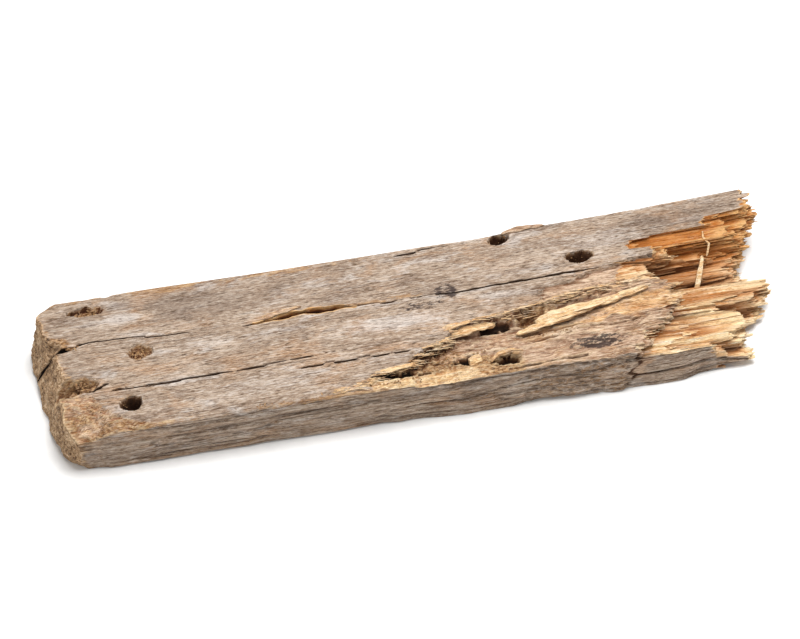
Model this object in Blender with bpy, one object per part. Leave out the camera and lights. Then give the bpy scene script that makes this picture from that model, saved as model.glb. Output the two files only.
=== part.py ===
"""A short length of weathered softwood board, sawn at one end and rotted and snapped at the other.

It is one piece of wood, so it is one object. Sizes in this file are millimetres along a straight
board, and place() turns them into metres and adds the board's sideways bend. The origin is in the
middle of the underside, +X runs along the grain to the snapped end, -Y is the rotted edge, +Z is up.
"""

import random

import bmesh
import bpy
from mathutils import Vector, noise

MM = 0.001

# The sawn board
WIDTH = 100.0
THICKNESS = 38.0
SAWN_END_X = -231.5
SOUND_END_X = 118.0
BEND = 3.3
BEND_SPAN = 225.0

# The net of faces on the sound part: greatest face size along, across and up
EDGE_RADIUS = 3.0
GRID_STEPS = (14.0, 12.5, 9.5)

# The sawn end leans: how far back its top edge lies from its bottom edge, from near to far
END_LEAN = ((-50, 7.0), (-30, 9.0), (-10, 14.0), (10, 13.0), (30, 7.0), (50, 3.0))

# Wear of the sawn end: how far its corners and rims have gone back, and where across that begins
FAR_CORNER_WEAR = 20.0
FAR_CORNER_FROM = 38.0
FAR_CORNER_LOW_SHARE = 0.4
NEAR_CORNER_WEAR = 15.0
NEAR_CORNER_FROM = -15.0
NEAR_CORNER_HIGH_SHARE = 0.5
RIM_WEAR = 1.0
RIM_SHARE = 0.3
END_WEAR_REACH = 45.0
END_ROUGHNESS = 1.4
END_GRAIN = 0.11
FAR_EDGE_WEAR = 2.5
FAR_EDGE_WEAR_FROM = -165.0

# Gentle waves of the faces, and how ragged the plank is where it passes into loose fibres
SURFACE_WAVE = 0.7
WAVE_SCALE = (0.014, 0.05, 0.06)
WAVE_FADE = 30.0
SIDE_WAVE_FROM = 40.0
TOP_WAVE_FROM = 20.0
WAVE_EASE = 9.0
RAGGED_END = 3.0
RAGGED_GRAIN = 0.15

# The snapped end: the board's section is split into strips across and growth layers up, and each
# strip of each layer has snapped at its own distance from the origin, near edge to far edge
STRIP_EDGES = (-50, -43, -35, -27, -18, -11, -4, 5, 14, 22, 29, 36, 43, 50)
LAYER_EDGES = (0, 5.5, 11, 17.5, 24, 29, 34, 38)
SNAPPED_AT = (
    (155, 172, 180, 187, 194, 192, 190, 193, 192, 196, 198, 197, 195),
    (188, 184, 183, 198, 200, 197, 192, 193, 197, 200, 202, 201, 198),
    (168, 185, 187, 182, 202, 205, 150, 184, 195, 198, 205, 204, 202),
    (164, 178, 184, 172, 196, 207, 136, 132, 176, 204, 207, 208, 205),
    (118, 126, 134, 142, 148, 140, 130, 128, 150, 196, 203, 211, 209),
    (118, 124, 134, 141, 149, 146, 138, 132, 150, 190, 185, 196, 207),
    (0, 0, 0, 0, 0, 0, 112, 112, 146, 130, 178, 200, 201),
)

# One bundle of fibres: where its full size begins, how it thins to its tip, and how it may stray
ROOT_X = 100.0
ROOT_SIZE = 0.55
FULL_FROM_X = 114.0
MIDDLE_SHARE = 0.6
TIP_LENGTH = 9.0
TIP_SHARE = 0.3
NECK_SIZE = (0.72, 0.95)
TIP_SIZE = (0.2, 0.62)
TIP_LEAN = 0.4
TIP_SLANT = 4.0
STRAND_JITTER = 0.7
STRAND_OVERLAP = 0.5
SURFACE_SLACK = (0.15, 0.6)
LEAST_FREE = 4.0
DROOP = 4.0
DROOP_FROM_LAYER = 1
DROOP_SPAN = 90.0

# A wide bundle may have split in two, one half shorter than the other
SPLIT_CHANCE = 0.4
SPLIT_PLACE = (0.35, 0.65)
SHORTER_BY = (2.0, 9.0)
FIBRE_SEED = 17

# Slivers that stand free of the bundles: centre line, width and height at the root, size at the tip
SLIVERS = (
    (((54, -13, 28), (69, -12.6, 31), (106, -9.8, 32.5), (131, -4.9, 33.5)), 4.6, 3.6, 0.4),
    (((135, 24, 29), (165, 21.5, 30.5), (188, 18.5, 31)), 5.0, 2.5, 0.3),
    (((150, 46, 34), (185, 48, 36), (203, 49.5, 36.5)), 5.0, 2.5, 0.4),
    (((130, 3, 8), (170, 9, 12), (187, 13, 13)), 4.0, 4.0, 0.3),
    (((96, -45, 3.6), (126, -48, 3.5), (156, -49, 3.4)), 8.0, 6.0, 0.85),
)

# Old nail holes: place, half sizes along and across the grain, height of the mouth, depth
NAIL_HOLES = (
    ("nail_hole_near", -182.0, -30.0, 7.0, 6.2, THICKNESS, 24.0),
    ("nail_hole_middle", -171.0, 4.8, 7.6, 6.2, THICKNESS, 5.0),
    ("nail_hole_rim", 53.0, 46.0, 6.5, 4.2, THICKNESS, 16.0),
    ("nail_hole_break", 97.0, 23.5, 8.0, 4.6, THICKNESS, 20.0),
)

# Drying cracks along the grain: points, greatest width and depth
CHECKS = (
    ("check_near", ((-195, -18), (-160, -20), (-124, -19.3)), 1.5, 9.0),
    ("check_near_end", ((-116, -18.7), (-88, -17.8), (-58, -16.8)), 1.3, 7.0),
    ("check_edge", ((-84, -24.4), (-50, -24), (-12, -23.6)), 1.2, 6.0),
    ("check_middle", ((14, 11.8), (45, 12.4), (84, 12.8), (104, 12.6)), 1.5, 8.0),
    ("check_far", ((-22, 45), (0, 46.4), (23, 47.8)), 1.3, 6.0),
    ("check_split", ((-208, 15), (-190, 16.6), (-160, 15)), 1.2, 8.0),
    ("slot_middle", ((-104, 13), (-86, 14.6), (-64, 15.6), (-44, 14.8), (-30, 13.4)), 4.6, 6.5),
    ("slot_edge", ((-45, -38), (-32, -37.5), (-16, -36), (-2, -35)), 5.0, 6.0),
)

# The rotted pocket along the near edge: x, the skin's broken edge y, floor height by the skin
POCKET = (
    (-70, -49.5, 37.2), (-52, -47, 36.5), (-34, -44, 35.5), (-18, -36, 33.5), (-6, -33, 31.5),
    (3, -27, 30.0), (6, -14, 30.0), (20, -12.5, 29.0), (34, -11.5, 28.0), (52, -8, 28.5),
    (71, -4, 29.5), (90, -1, 30.5), (106, 0.5, 31.0), (124, 1.5, 31.5), (152, 4, 32.0),
)
POCKET_RIM_RISE = 4.5
RIM_RISE_FROM = 34.0
RIM_RISE_SPAN = 14.0
SOUND_FLOOR = 38.0
FLOOR_SPAN = 6.0
POCKET_COLUMNS = 6
POCKET_LUMPS = 0.9
LUMP_SCALE = (0.06, 0.12)
LUMPS_FROM = -40.0
SKIN_RAGGED = 2.2
SKIN_GRAIN = 0.09
POCKET_STEP = 7.0
POCKET_PITS = (
    ("pit_corner", 13.0, -36.0, 6.0, 3.6, 34.0, 7.0),
    ("pit_edge", 40.0, -40.0, 7.0, 4.0, 34.0, 8.0),
    ("pit_under_skin", 38.0, -11.5, 11.0, 3.6, 31.0, 7.0),
)

# The second, shallow step between the skin and the pocket: x, near y, far y, height
STEP = ((70, -8, 6, 36.4), (86, -6, 6, 35.4), (98, -6, 11, 35), (112, -5, 12, 34.6), (140, -4, 16, 34.2))

# The sawn end's split, notch, gouge and broken near corner
SPLIT = (
    (-238, 9.0, 18.0, 19.5, 22.0),
    (-220, 12.0, 18.0, 20.3, 21.8),
    (-206, 15.6, 16.6, 20.6, 21.4),
)
NOTCH = ((-238, -20, -9, 25), (-216, -20, -8.5, 29), (-206, -17, -9.5, 34), (-201, -15, -12, 37))
GOUGE = ((-219, 37.5, 2.0), (-208, 38.5, 3.5), (-196, 40.0, 5.5), (-190, 40.5, 4.0))
GOUGE_DEPTH = 4.5
CORNER = (
    (-238, -16, 31.0),
    (-219, -20, 32.5),
    (-208, -22, 34.0),
    (-198, -35, 36.0),
    (-182, -43, 37.5),
    (-164, -50, 38.0),
)

# How far cutters stand past the faces they cut, and the raggedness of the holes
CUTTER_TOP = 46.0
PAST_FACE = 3.0
PAST_EDGE = 4.0
HOLE_SIDES = 10
HOLE_TOP = 1.06
HOLE_BOTTOM = 0.62
HOLE_RAGGED = 0.22
HOLE_GRAIN = 1.7
CHECK_END = 0.12
CHECK_LIPS = 1.4
CHECK_ROOT = 0.2
CHECK_LEAST = 0.25

SHARP_ANGLE = 0.6

WEATHERED_GREY = (0.36, 0.29, 0.23, 1.0)


def place(x, y, z):
    """A point of the straight board, in millimetres, as a place in the bent one, in metres."""
    return Vector((x, y + BEND * (x / BEND_SPAN) ** 2, z)) * MM


def ease(value):
    """0 below 0, 1 above 1, and a smooth rise between."""
    clamped = min(max(value, 0.0), 1.0)
    return clamped * clamped * (3.0 - 2.0 * clamped)


def new_object(name, bm, collection):
    bmesh.ops.recalc_face_normals(bm, faces=bm.faces)
    mesh = bpy.data.meshes.new(name)
    bm.to_mesh(mesh)
    bm.free()
    obj = bpy.data.objects.new(name, mesh)
    collection.objects.link(obj)
    return obj


def loft(name, rings, collection):
    """A closed body through rings of the same number of points, one behind the other."""
    bm = bmesh.new()
    loops = [[bm.verts.new(place(*point)) for point in ring] for ring in rings]
    count = len(rings[0])
    for one, other in zip(loops, loops[1:]):
        for i in range(count):
            j = (i + 1) % count
            bm.faces.new((one[i], one[j], other[j], other[i]))
    bm.faces.new(loops[0])
    bm.faces.new(loops[-1])
    return new_object(name, bm, collection)


def between(table, place_across):
    """The value of a table of (place, value) rows, taken straight between its rows."""
    for (y0, value0), (y1, value1) in zip(table, table[1:]):
        if place_across <= y1:
            share = max(0.0, (place_across - y0) / (y1 - y0))
            return value0 + (value1 - value0) * share
    return table[-1][1]


def end_wear(y, z):
    """How far the sawn end is worn back at this point of the section."""
    up = z / THICKNESS
    far = max(0.0, (y - FAR_CORNER_FROM) / (WIDTH / 2 - FAR_CORNER_FROM))
    near = max(0.0, (NEAR_CORNER_FROM - y) / (WIDTH / 2 + NEAR_CORNER_FROM))
    far_share = FAR_CORNER_LOW_SHARE + (1.0 - FAR_CORNER_LOW_SHARE) * up
    near_share = 1.0 - NEAR_CORNER_HIGH_SHARE * up
    corners = FAR_CORNER_WEAR * far**2 * far_share + NEAR_CORNER_WEAR * near**2 * near_share
    rim = max(0.0, (abs(up - 0.5) * 2.0 - 1.0 + RIM_SHARE) / RIM_SHARE)
    rough = noise.noise(Vector((y, z, 0.0)) * END_GRAIN)
    return between(END_LEAN, y) * up + corners + RIM_WEAR * rim**2 + END_ROUGHNESS * rough


def weathered(x, y, z):
    """Where a point of the sawn board has moved to through wear. The underside stays flat."""
    scale_x, scale_y, scale_z = WAVE_SCALE
    fade = ease((SOUND_END_X - WAVE_FADE - x) / WAVE_FADE)
    wave = SURFACE_WAVE * fade * noise.noise(Vector((x * scale_x, y * scale_y, z * scale_z)))
    side = 1.0 if y > 0 else -1.0
    new_y = y + side * wave * ease((abs(y) - SIDE_WAVE_FROM) / WAVE_EASE)
    far_edge = FAR_EDGE_WEAR * ease((FAR_EDGE_WEAR_FROM - x) / END_WEAR_REACH)
    new_y -= far_edge * ease((y - SIDE_WAVE_FROM) / WAVE_EASE)
    new_z = z + wave * ease((z - TOP_WAVE_FROM) / WAVE_EASE)
    back = 1.0 - ease((x - SAWN_END_X) / END_WEAR_REACH)
    new_x = x + back * end_wear(y, z)
    if x > SOUND_END_X - 1.0:
        new_x += RAGGED_END * noise.noise(Vector((y, z, 0.0)) * RAGGED_GRAIN)
    return new_x, new_y, new_z


def cut_into_net(bm):
    """Cuts the box along, across and up, so that its faces can follow the wear."""
    spans = ((SAWN_END_X, SOUND_END_X), (-WIDTH / 2, WIDTH / 2), (0.0, THICKNESS))
    for axis, (low, high) in enumerate(spans):
        pieces = round((high - low) / GRID_STEPS[axis])
        normal = Vector((axis == 0, axis == 1, axis == 2))
        for i in range(1, pieces):
            point = normal * (low + (high - low) * i / pieces)
            geometry = bm.verts[:] + bm.edges[:] + bm.faces[:]
            bmesh.ops.bisect_plane(bm, geom=geometry, plane_co=point, plane_no=normal)


def sawn_plank(collection):
    """The sound part of the board, its long edges rounded and its surface gently worn."""
    bm = bmesh.new()
    bmesh.ops.create_cube(bm, size=1.0)
    length = SOUND_END_X - SAWN_END_X
    bmesh.ops.scale(bm, vec=(length, WIDTH, THICKNESS), verts=bm.verts)
    middle = (SAWN_END_X + length / 2, 0.0, THICKNESS / 2)
    bmesh.ops.translate(bm, vec=middle, verts=bm.verts)
    long_edges = [e for e in bm.edges if abs(e.verts[0].co.x - e.verts[1].co.x) > length / 2]
    bmesh.ops.bevel(
        bm, geom=long_edges, offset=EDGE_RADIUS, offset_type="OFFSET",
        affect="EDGES", segments=2, profile=0.5, material=-1,
    )
    cut_into_net(bm)
    for vert in bm.verts:
        vert.co = place(*weathered(*vert.co))
    return new_object("rotted_board", bm, collection)


def inside_section(y, z, slack):
    """The nearest point of the board's rounded section that lies this far below its faces."""
    core_y = min(max(y, EDGE_RADIUS - WIDTH / 2), WIDTH / 2 - EDGE_RADIUS)
    core_z = min(max(z, EDGE_RADIUS), THICKNESS - EDGE_RADIUS)
    out = Vector((y - core_y, z - core_z))
    if out.length > EDGE_RADIUS - slack:
        out.length = EDGE_RADIUS - slack
    return core_y + out.x, core_z + out.y


def strand_stations(reach, rng):
    """Where along the grain a bundle has its sections, and the size of each as a share."""
    free = reach - FULL_FROM_X
    return (
        (ROOT_X, ROOT_SIZE),
        (FULL_FROM_X, 1.0),
        (FULL_FROM_X + free * MIDDLE_SHARE, 1.0),
        (reach - min(TIP_LENGTH, free * TIP_SHARE), rng.uniform(*NECK_SIZE)),
        (reach, rng.uniform(*TIP_SIZE)),
    )


def strand(name, reach, low, high, droop, rng, collection):
    """One bundle of fibres: sunk in the plank at its root, full in the middle, snapped at its tip."""
    (y0, z0), (y1, z1) = low, high
    middle_y, middle_z = (y0 + y1) / 2, (z0 + z1) / 2
    lean_y = rng.uniform(-TIP_LEAN, TIP_LEAN) * (y1 - y0)
    lean_z = rng.uniform(-TIP_LEAN, TIP_LEAN) * (z1 - z0)
    rings = []
    for x, size in strand_stations(reach, rng):
        half_y = (y1 - y0) / 2 * size + STRAND_OVERLAP
        half_z = (z1 - z0) / 2 * size + STRAND_OVERLAP
        jitter = STRAND_JITTER if x > SOUND_END_X else 0.0
        slant = TIP_SLANT if x == reach else 0.0
        sag = droop * ease((x - SOUND_END_X) / DROOP_SPAN)
        ring = []
        for side, level in ((-1, -1), (1, -1), (1, 1), (-1, 1)):
            y = middle_y + side * half_y + (1 - size) * lean_y + rng.uniform(-jitter, jitter)
            z = middle_z + level * half_z + (1 - size) * lean_z + rng.uniform(-jitter, jitter)
            y, z = inside_section(y, z - sag, rng.uniform(*SURFACE_SLACK))
            ring.append((x - rng.uniform(0.0, slant), y, z))
        rings.append(ring)
    loft(name, rings, collection)


def split_strand(name, reach, low, high, droop, rng, collection):
    """A bundle that has split along the grain, one half shorter than the other."""
    (y0, z0), (y1, z1) = low, high
    middle = y0 + (y1 - y0) * rng.uniform(*SPLIT_PLACE)
    short = max(reach - rng.uniform(*SHORTER_BY), SOUND_END_X + LEAST_FREE)
    ends = [reach, short]
    rng.shuffle(ends)
    strand(name + "a", ends[0], low, (middle, z1), droop, rng, collection)
    strand(name + "b", ends[1], (middle, z0), high, droop, rng, collection)


def snapped_end(collection):
    """The bundles of the snapped end, one or two for each strip of each growth layer."""
    rng = random.Random(FIBRE_SEED)
    for layer, row in enumerate(SNAPPED_AT):
        for strip, reach in enumerate(row):
            if reach < SOUND_END_X:
                continue
            low = (STRIP_EDGES[strip], LAYER_EDGES[layer])
            high = (STRIP_EDGES[strip + 1], LAYER_EDGES[layer + 1])
            droop = DROOP if layer >= DROOP_FROM_LAYER and high[0] < 0 else 0.0
            make = split_strand if rng.random() < SPLIT_CHANCE else strand
            make(f"strand_{layer}_{strip}", reach, low, high, droop, rng, collection)


def slivers(collection):
    """Free slivers, thick at the root and drawn out towards the tip."""
    for number, (line, width, height, tip) in enumerate(SLIVERS):
        rings = []
        for step, (x, y, z) in enumerate(line):
            size = 1.0 - (1.0 - tip) * step / (len(line) - 1)
            half_y, half_z = width / 2 * size, height / 2 * size
            rings.append((
                (x, y - half_y, z - half_z * 0.3),
                (x, y, z - half_z),
                (x, y + half_y, z - half_z * 0.2),
                (x + 1, y + half_y * 0.6, z + half_z),
                (x + 1, y - half_y * 0.7, z + half_z * 0.8),
            ))
        loft(f"sliver_{number}", rings, collection)


def hole_cutter(name, x, y, half_x, half_y, top, depth, collection):
    """A ragged round hole that narrows downwards."""
    bm = bmesh.new()
    tall = depth + PAST_FACE
    bmesh.ops.create_cone(
        bm, cap_ends=True, segments=HOLE_SIDES, radius1=HOLE_BOTTOM, radius2=HOLE_TOP, depth=tall,
    )
    for vert in bm.verts:
        around = Vector((vert.co.x * HOLE_GRAIN, vert.co.y * HOLE_GRAIN, x))
        ragged = 1.0 + HOLE_RAGGED * noise.noise(around)
        along = x + vert.co.x * half_x * ragged
        across = y + vert.co.y * half_y * ragged
        vert.co = place(along, across, vert.co.z + top + PAST_FACE - tall / 2)
    return new_object(name, bm, collection)


def check_cutter(name, line, width, depth, collection):
    """A crack with a V section, widest in the middle of its length and closed at its ends."""
    rings = []
    last = len(line) - 1
    for step, (x, y) in enumerate(line):
        open_share = CHECK_END if step in (0, last) else 1.0
        half = width / 2 * open_share
        top = THICKNESS + PAST_FACE
        bottom = THICKNESS - depth * max(open_share, CHECK_LEAST)
        lips = half * CHECK_LIPS
        rings.append(((x, y - lips, top), (x, y + lips, top), (x, y + half * CHECK_ROOT, bottom)))
    loft(name, rings, collection)


def pocket_floor(x, y, floor):
    """Height of the pocket's floor: lumpy, and rising to the sound rim along the near edge."""
    at_rim = ease((-y - RIM_RISE_FROM) / RIM_RISE_SPAN)
    rise = POCKET_RIM_RISE * at_rim * ease((SOUND_FLOOR - floor) / FLOOR_SPAN)
    scale_x, scale_y = LUMP_SCALE
    lump = noise.noise(Vector((x * scale_x, y * scale_y, 5.0)))
    return floor + rise + POCKET_LUMPS * lump * ease((x - LUMPS_FROM) / WAVE_FADE)


def pocket_sections():
    """The pocket's table with more sections between its rows, the skin's edge made ragged."""
    sections = []
    for (x0, y0, floor0), (x1, y1, floor1) in zip(POCKET, POCKET[1:]):
        count = max(1, round((x1 - x0) / POCKET_STEP))
        for i in range(count):
            share = i / count
            x = x0 + (x1 - x0) * share
            ragged = SKIN_RAGGED * noise.noise(Vector((x * SKIN_GRAIN, 0.0, 1.0)))
            skin_y = y0 + (y1 - y0) * share + ragged
            sections.append((x, skin_y, floor0 + (floor1 - floor0) * share))
    return sections + [POCKET[-1]]


def pocket_cutter(collection):
    """The rot pocket: a shallow trough from the skin's broken edge to past the near edge."""
    rings = []
    outer = -WIDTH / 2 - PAST_EDGE
    for x, skin_y, floor in pocket_sections():
        ring = [(x, outer, CUTTER_TOP), (x, skin_y + 0.6, CUTTER_TOP)]
        for column in range(POCKET_COLUMNS):
            y = skin_y + (outer - skin_y) * column / (POCKET_COLUMNS - 1)
            ring.append((x, y, pocket_floor(x, y, floor)))
        rings.append(ring)
    loft("rot_pocket", rings, collection)


def step_cutter(collection):
    """The shallow step where the skin has lifted off beside the pocket."""
    rings = [
        ((x, y0, CUTTER_TOP), (x, y1, CUTTER_TOP), (x, y1, top), (x, y0, top - 0.6))
        for x, y0, y1, top in STEP
    ]
    loft("skin_step", rings, collection)


def split_cutter(collection):
    """The sawn end's split, wide at the top and closing towards the underside."""
    rings = [
        (
            (x, low0, -PAST_FACE), (x, low1, -PAST_FACE),
            (x, top1, CUTTER_TOP), (x, top0, CUTTER_TOP),
        )
        for x, top0, top1, low0, low1 in SPLIT
    ]
    loft("end_split", rings, collection)


def notch_cutter(collection):
    """The crumbled notch that opens the second crack at the sawn end."""
    rings = [
        (
            (x, y0, CUTTER_TOP), (x, y1, CUTTER_TOP),
            (x, y1, floor + 4), (x, (y0 + y1) / 2, floor), (x, y0, floor + 2),
        )
        for x, y0, y1, floor in NOTCH
    ]
    loft("end_notch", rings, collection)


def gouge_cutter(collection):
    """The shallow gouge along the far edge near the sawn end."""
    rings = []
    widest = max(half for _, _, half in GOUGE)
    for x, y, half in GOUGE:
        top = THICKNESS + PAST_FACE
        bottom = THICKNESS - GOUGE_DEPTH * half / widest
        rings.append((
            (x, y - half, top), (x, y + half, top),
            (x, y + half * 0.5, bottom), (x, y - half * 0.6, bottom),
        ))
    loft("end_gouge", rings, collection)


def corner_cutter(collection):
    """The near corner of the sawn end, where the skin has broken away."""
    outer = -WIDTH / 2 - PAST_EDGE
    rings = [
        (
            (x, outer, CUTTER_TOP), (x, inner + 3, CUTTER_TOP), (x, inner, floor + 2.2),
            (x, (inner + outer) / 2, floor), (x, outer, floor - 2),
        )
        for x, inner, floor in CORNER
    ]
    loft("broken_corner", rings, collection)


def cutters(collection):
    """Everything that rot, nails and drying have taken out of the board."""
    for hole in NAIL_HOLES + POCKET_PITS:
        hole_cutter(*hole, collection)
    for check in CHECKS:
        check_cutter(*check, collection)
    pocket_cutter(collection)
    step_cutter(collection)
    split_cutter(collection)
    notch_cutter(collection)
    gouge_cutter(collection)
    corner_cutter(collection)


def combine(obj, operation, collection):
    """Joins the collection's bodies to the object, or cuts them from it, and removes them."""
    modifier = obj.modifiers.new(collection.name, "BOOLEAN")
    modifier.operation = operation
    modifier.operand_type = "COLLECTION"
    modifier.collection = collection
    modifier.solver = "MANIFOLD"
    bpy.context.view_layer.objects.active = obj
    bpy.ops.object.modifier_apply(modifier=modifier.name)
    for other in list(collection.objects):
        bpy.data.objects.remove(other)
    bpy.data.collections.remove(collection)


def faces_joined_to(face, unseen):
    """The face and all others reached from it across edges that join just two faces."""
    joined = [face]
    for seen in joined:
        for edge in seen.edges:
            if len(edge.link_faces) != 2:
                continue
            for other in edge.link_faces:
                if other in unseen:
                    unseen.remove(other)
                    joined.append(other)
    return joined


def keep_largest_shell(obj):
    """Fills the small hollows that lie sealed between strands, and drops any loose scrap."""
    bm = bmesh.new()
    bm.from_mesh(obj.data)
    bmesh.ops.triangulate(bm, faces=bm.faces)
    unseen = set(bm.faces)
    shells = []
    while unseen:
        shells.append(faces_joined_to(unseen.pop(), unseen))
    shells.sort(key=len)
    for shell in shells[:-1]:
        bmesh.ops.delete(bm, geom=shell, context="FACES")
    bm.to_mesh(obj.data)
    bm.free()


def weathered_wood():
    material = bpy.data.materials.new("weathered_wood")
    material.use_nodes = True
    shader = material.node_tree.nodes["Principled BSDF"]
    shader.inputs["Base Color"].default_value = WEATHERED_GREY
    shader.inputs["Roughness"].default_value = 0.85
    shader.inputs["Metallic"].default_value = 0.0
    return material


def new_collection(name):
    collection = bpy.data.collections.new(name)
    bpy.context.scene.collection.children.link(collection)
    return collection


def main():
    for obj in list(bpy.data.objects):
        bpy.data.objects.remove(obj)
    board_parts = new_collection("rotted_wood_board")
    fibres = new_collection("fibres")
    wear = new_collection("wear_cutters")
    free_slivers = new_collection("free_slivers")

    board = sawn_plank(board_parts)
    board.data.materials.append(weathered_wood())
    snapped_end(fibres)
    combine(board, "UNION", fibres)
    cutters(wear)
    combine(board, "DIFFERENCE", wear)
    slivers(free_slivers)
    combine(board, "UNION", free_slivers)
    keep_largest_shell(board)
    board.data.set_sharp_from_angle(angle=SHARP_ANGLE)


main()
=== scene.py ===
"""The looks of a short, weathered softwood board, sawn at one end and rotted and snapped at the other.

Shapes are worked out in millimetres along a straight board, as in the part's source: x runs along the
grain, y across from the rotted near edge to the far edge, z up from the underside. settle() then bends
the board a little sideways and turns millimetres into metres.
"""

import math

import bmesh
import bpy
import numpy as np
from mathutils import Matrix, Vector


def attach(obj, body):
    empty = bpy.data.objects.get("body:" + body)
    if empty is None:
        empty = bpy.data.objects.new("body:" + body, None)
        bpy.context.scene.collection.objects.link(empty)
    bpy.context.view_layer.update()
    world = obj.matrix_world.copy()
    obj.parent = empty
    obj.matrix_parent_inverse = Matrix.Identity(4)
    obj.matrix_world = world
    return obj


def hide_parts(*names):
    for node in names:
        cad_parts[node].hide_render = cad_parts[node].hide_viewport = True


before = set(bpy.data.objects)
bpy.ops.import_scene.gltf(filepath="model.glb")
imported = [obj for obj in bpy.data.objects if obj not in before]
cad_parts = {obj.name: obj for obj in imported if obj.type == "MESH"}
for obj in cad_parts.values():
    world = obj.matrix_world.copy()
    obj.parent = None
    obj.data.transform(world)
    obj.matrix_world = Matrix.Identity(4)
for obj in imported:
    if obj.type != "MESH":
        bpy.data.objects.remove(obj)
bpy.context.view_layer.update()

MM = 0.001

# The board
WIDTH = 100.0
THICKNESS = 38.0
SAWN_END_X = -231.5
SOUND_END_X = 118.0
BEND = 3.3
BEND_SPAN = 225.0

# The sawn end: how far back its top edge lies from its bottom edge, from near to far
END_LEAN_Y = (-50, -30, -10, 10, 30, 50)
END_LEAN = (7, 9, 14, 13, 7, 3)
END_WEAR_REACH = 45.0
END_FOOT_Y = (-50, -41, -24, -8, 7, 41, 50)
END_FOOT = (8, 4, 2.5, 1.5, 0, 0, 0)

# The notch in the sawn end, half as wide and as deep as this along the board
NOTCH_Y = -13.6
NOTCH_END_X = -201
NOTCH_HALF = ((-240, -218, -210, -205, -202), (6.6, 6.0, 5.2, 3.6, 0.8))
NOTCH_DEPTH = ((-240, -216, -208, -202), (16, 12, 8, 3))

# The gouge beside the sawn end's far corner: place, half length, depth
GOUGE = (-200, 39.6, 13.5, 4.6)

# The broken near corner: how far in it reaches and how far it drops, along the board
CORNER_Y = ((-240, -219, -208, -198, -182, -160), (-17, -20, -22, -33, -43, -51))
CORNER_DROP = ((-240, -219, -208, -198, -182, -164), (8.0, 6.5, 5.2, 3.0, 1.4, 0.4))
CORNER_END_X = -160

# The near side: how far its foot and its top edge lie from the sawn line, along the board
NEAR_X = (-232, -196, -114, -20, 15, 60, 119, 150, 157, 185, 240)
NEAR_FOOT = (3.0, 1.7, 2.7, 2.6, 0.2, -1.4, -3.4, -3.6, -2.8, -2.6, -0.4)
NEAR_TOP = (1.7, 1.7, 1.5, 1.5, 1.0, 0.8, 0.6, 0.5, 0.5, 0.5, 0.5)
SHOULDER = ((30, 60, 100, 130), (2.4, 6.0, 6.0, 2.4))

# How far the far side lies out past the sawn line, along the board
FAR_OUT = ((40, 70, 210), (0.0, 1.3, 1.7))

# The snapped end: strips across, growth layers up, and how far each strip of each layer reaches
STRIP_EDGES = (-50, -43, -35, -27, -18, -11, -4, 5, 14, 22, 29, 36, 43, 50)
LAYER_EDGES = (0, 5.5, 11, 17.5, 24, 29, 34, 38)
SNAPPED_AT = (
    (170, 176, 180, 187, 194, 192, 190, 193, 192, 196, 198, 197, 195),
    (188, 184, 178, 198, 200, 197, 192, 193, 195, 196, 199, 201, 198),
    (168, 185, 182, 182, 202, 205, 150, 184, 193, 194, 200, 204, 202),
    (164, 178, 184, 172, 196, 207, 136, 132, 174, 200, 205, 211, 206),
    (118, 126, 134, 142, 148, 140, 130, 128, 150, 192, 202, 213, 206),
    (118, 124, 134, 141, 149, 146, 138, 132, 150, 190, 186, 206, 204),
    (118, 124, 134, 141, 149, 146, 119, 119, 146, 130, 178, 201, 204),
)
REACH_LIMIT = 212.5
DROOP = 4.0
DROOP_SPAN = 90.0

# Old nail holes: place, half sizes along and across the grain, depth
NAIL_HOLES = (
    (-181.5, -30.8, 6.8, 5.2, 13),
    (-171, 4.8, 8, 6, 5),
    (53, 46, 7, 4, 12),
    (97, 23.5, 8.2, 4.8, 12),
)
SHALLOW_HOLE = 5

# Cracks along the grain: x, y, half width and depth at each point
CRACKS = (
    (
        (-240, 13.4, 1.9, 35), (-226, 14.0, 1.5, 32), (-220, 14.6, 0.6, 20), (-213, 15.4, 0.4, 10),
        (-204, 16.2, 0.4, 8), (-190, 16.4, 0.3, 5), (-168, 15.2, 0.26, 4), (-145, 13.8, 0.2, 2),
        (-132, 13.0, 0.1, 1),
    ),
    ((-207, -18.7, 0.8, 8), (-200, -16.6, 0.8, 8), (-194, -15.4, 0.5, 5), (-186, -14.8, 0.15, 1)),
    (
        (-191, -19.8, 0.2, 2), (-182, -20.1, 0.45, 7), (-150, -20.0, 0.6, 10), (-130, -19.4, 0.55, 9),
        (-122, -19.2, 0.2, 3), (-114, -18.7, 0.25, 3), (-105, -18.0, 0.5, 6), (-94, -17.7, 0.25, 4),
        (-86, -17.8, 0.35, 5), (-74, -17.3, 0.5, 6), (-60, -16.8, 0.2, 2), (-52, -16.6, 0.1, 1),
    ),
    ((-84, -24.4, 0.12, 1), (-70, -24.3, 0.3, 4), (-40, -24.0, 0.3, 4), (-14, -23.6, 0.12, 1)),
    (
        (-108, 12.4, 0.12, 1), (-100, 13.2, 0.6, 4), (-90, 14.4, 1.3, 6), (-80, 15.2, 1.9, 7),
        (-66, 15.6, 2.2, 7), (-54, 15.1, 2.0, 7), (-46, 14.6, 1.2, 6), (-41, 14.2, 0.4, 4),
        (-11, 13.0, 0.25, 3), (8, 12.9, 0.2, 2), (18, 12.2, 0.35, 5), (45, 12.4, 0.55, 8),
        (84, 12.8, 0.6, 9), (98, 12.7, 0.4, 6), (106, 12.6, 0.15, 2),
    ),
    ((-22, 45.0, 0.15, 1), (-8, 45.8, 0.4, 4), (8, 46.8, 0.4, 4), (24, 47.6, 0.15, 1)),
)
CRACK_ROOM = 3.0
CRACK_EASE = 6.0

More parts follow.
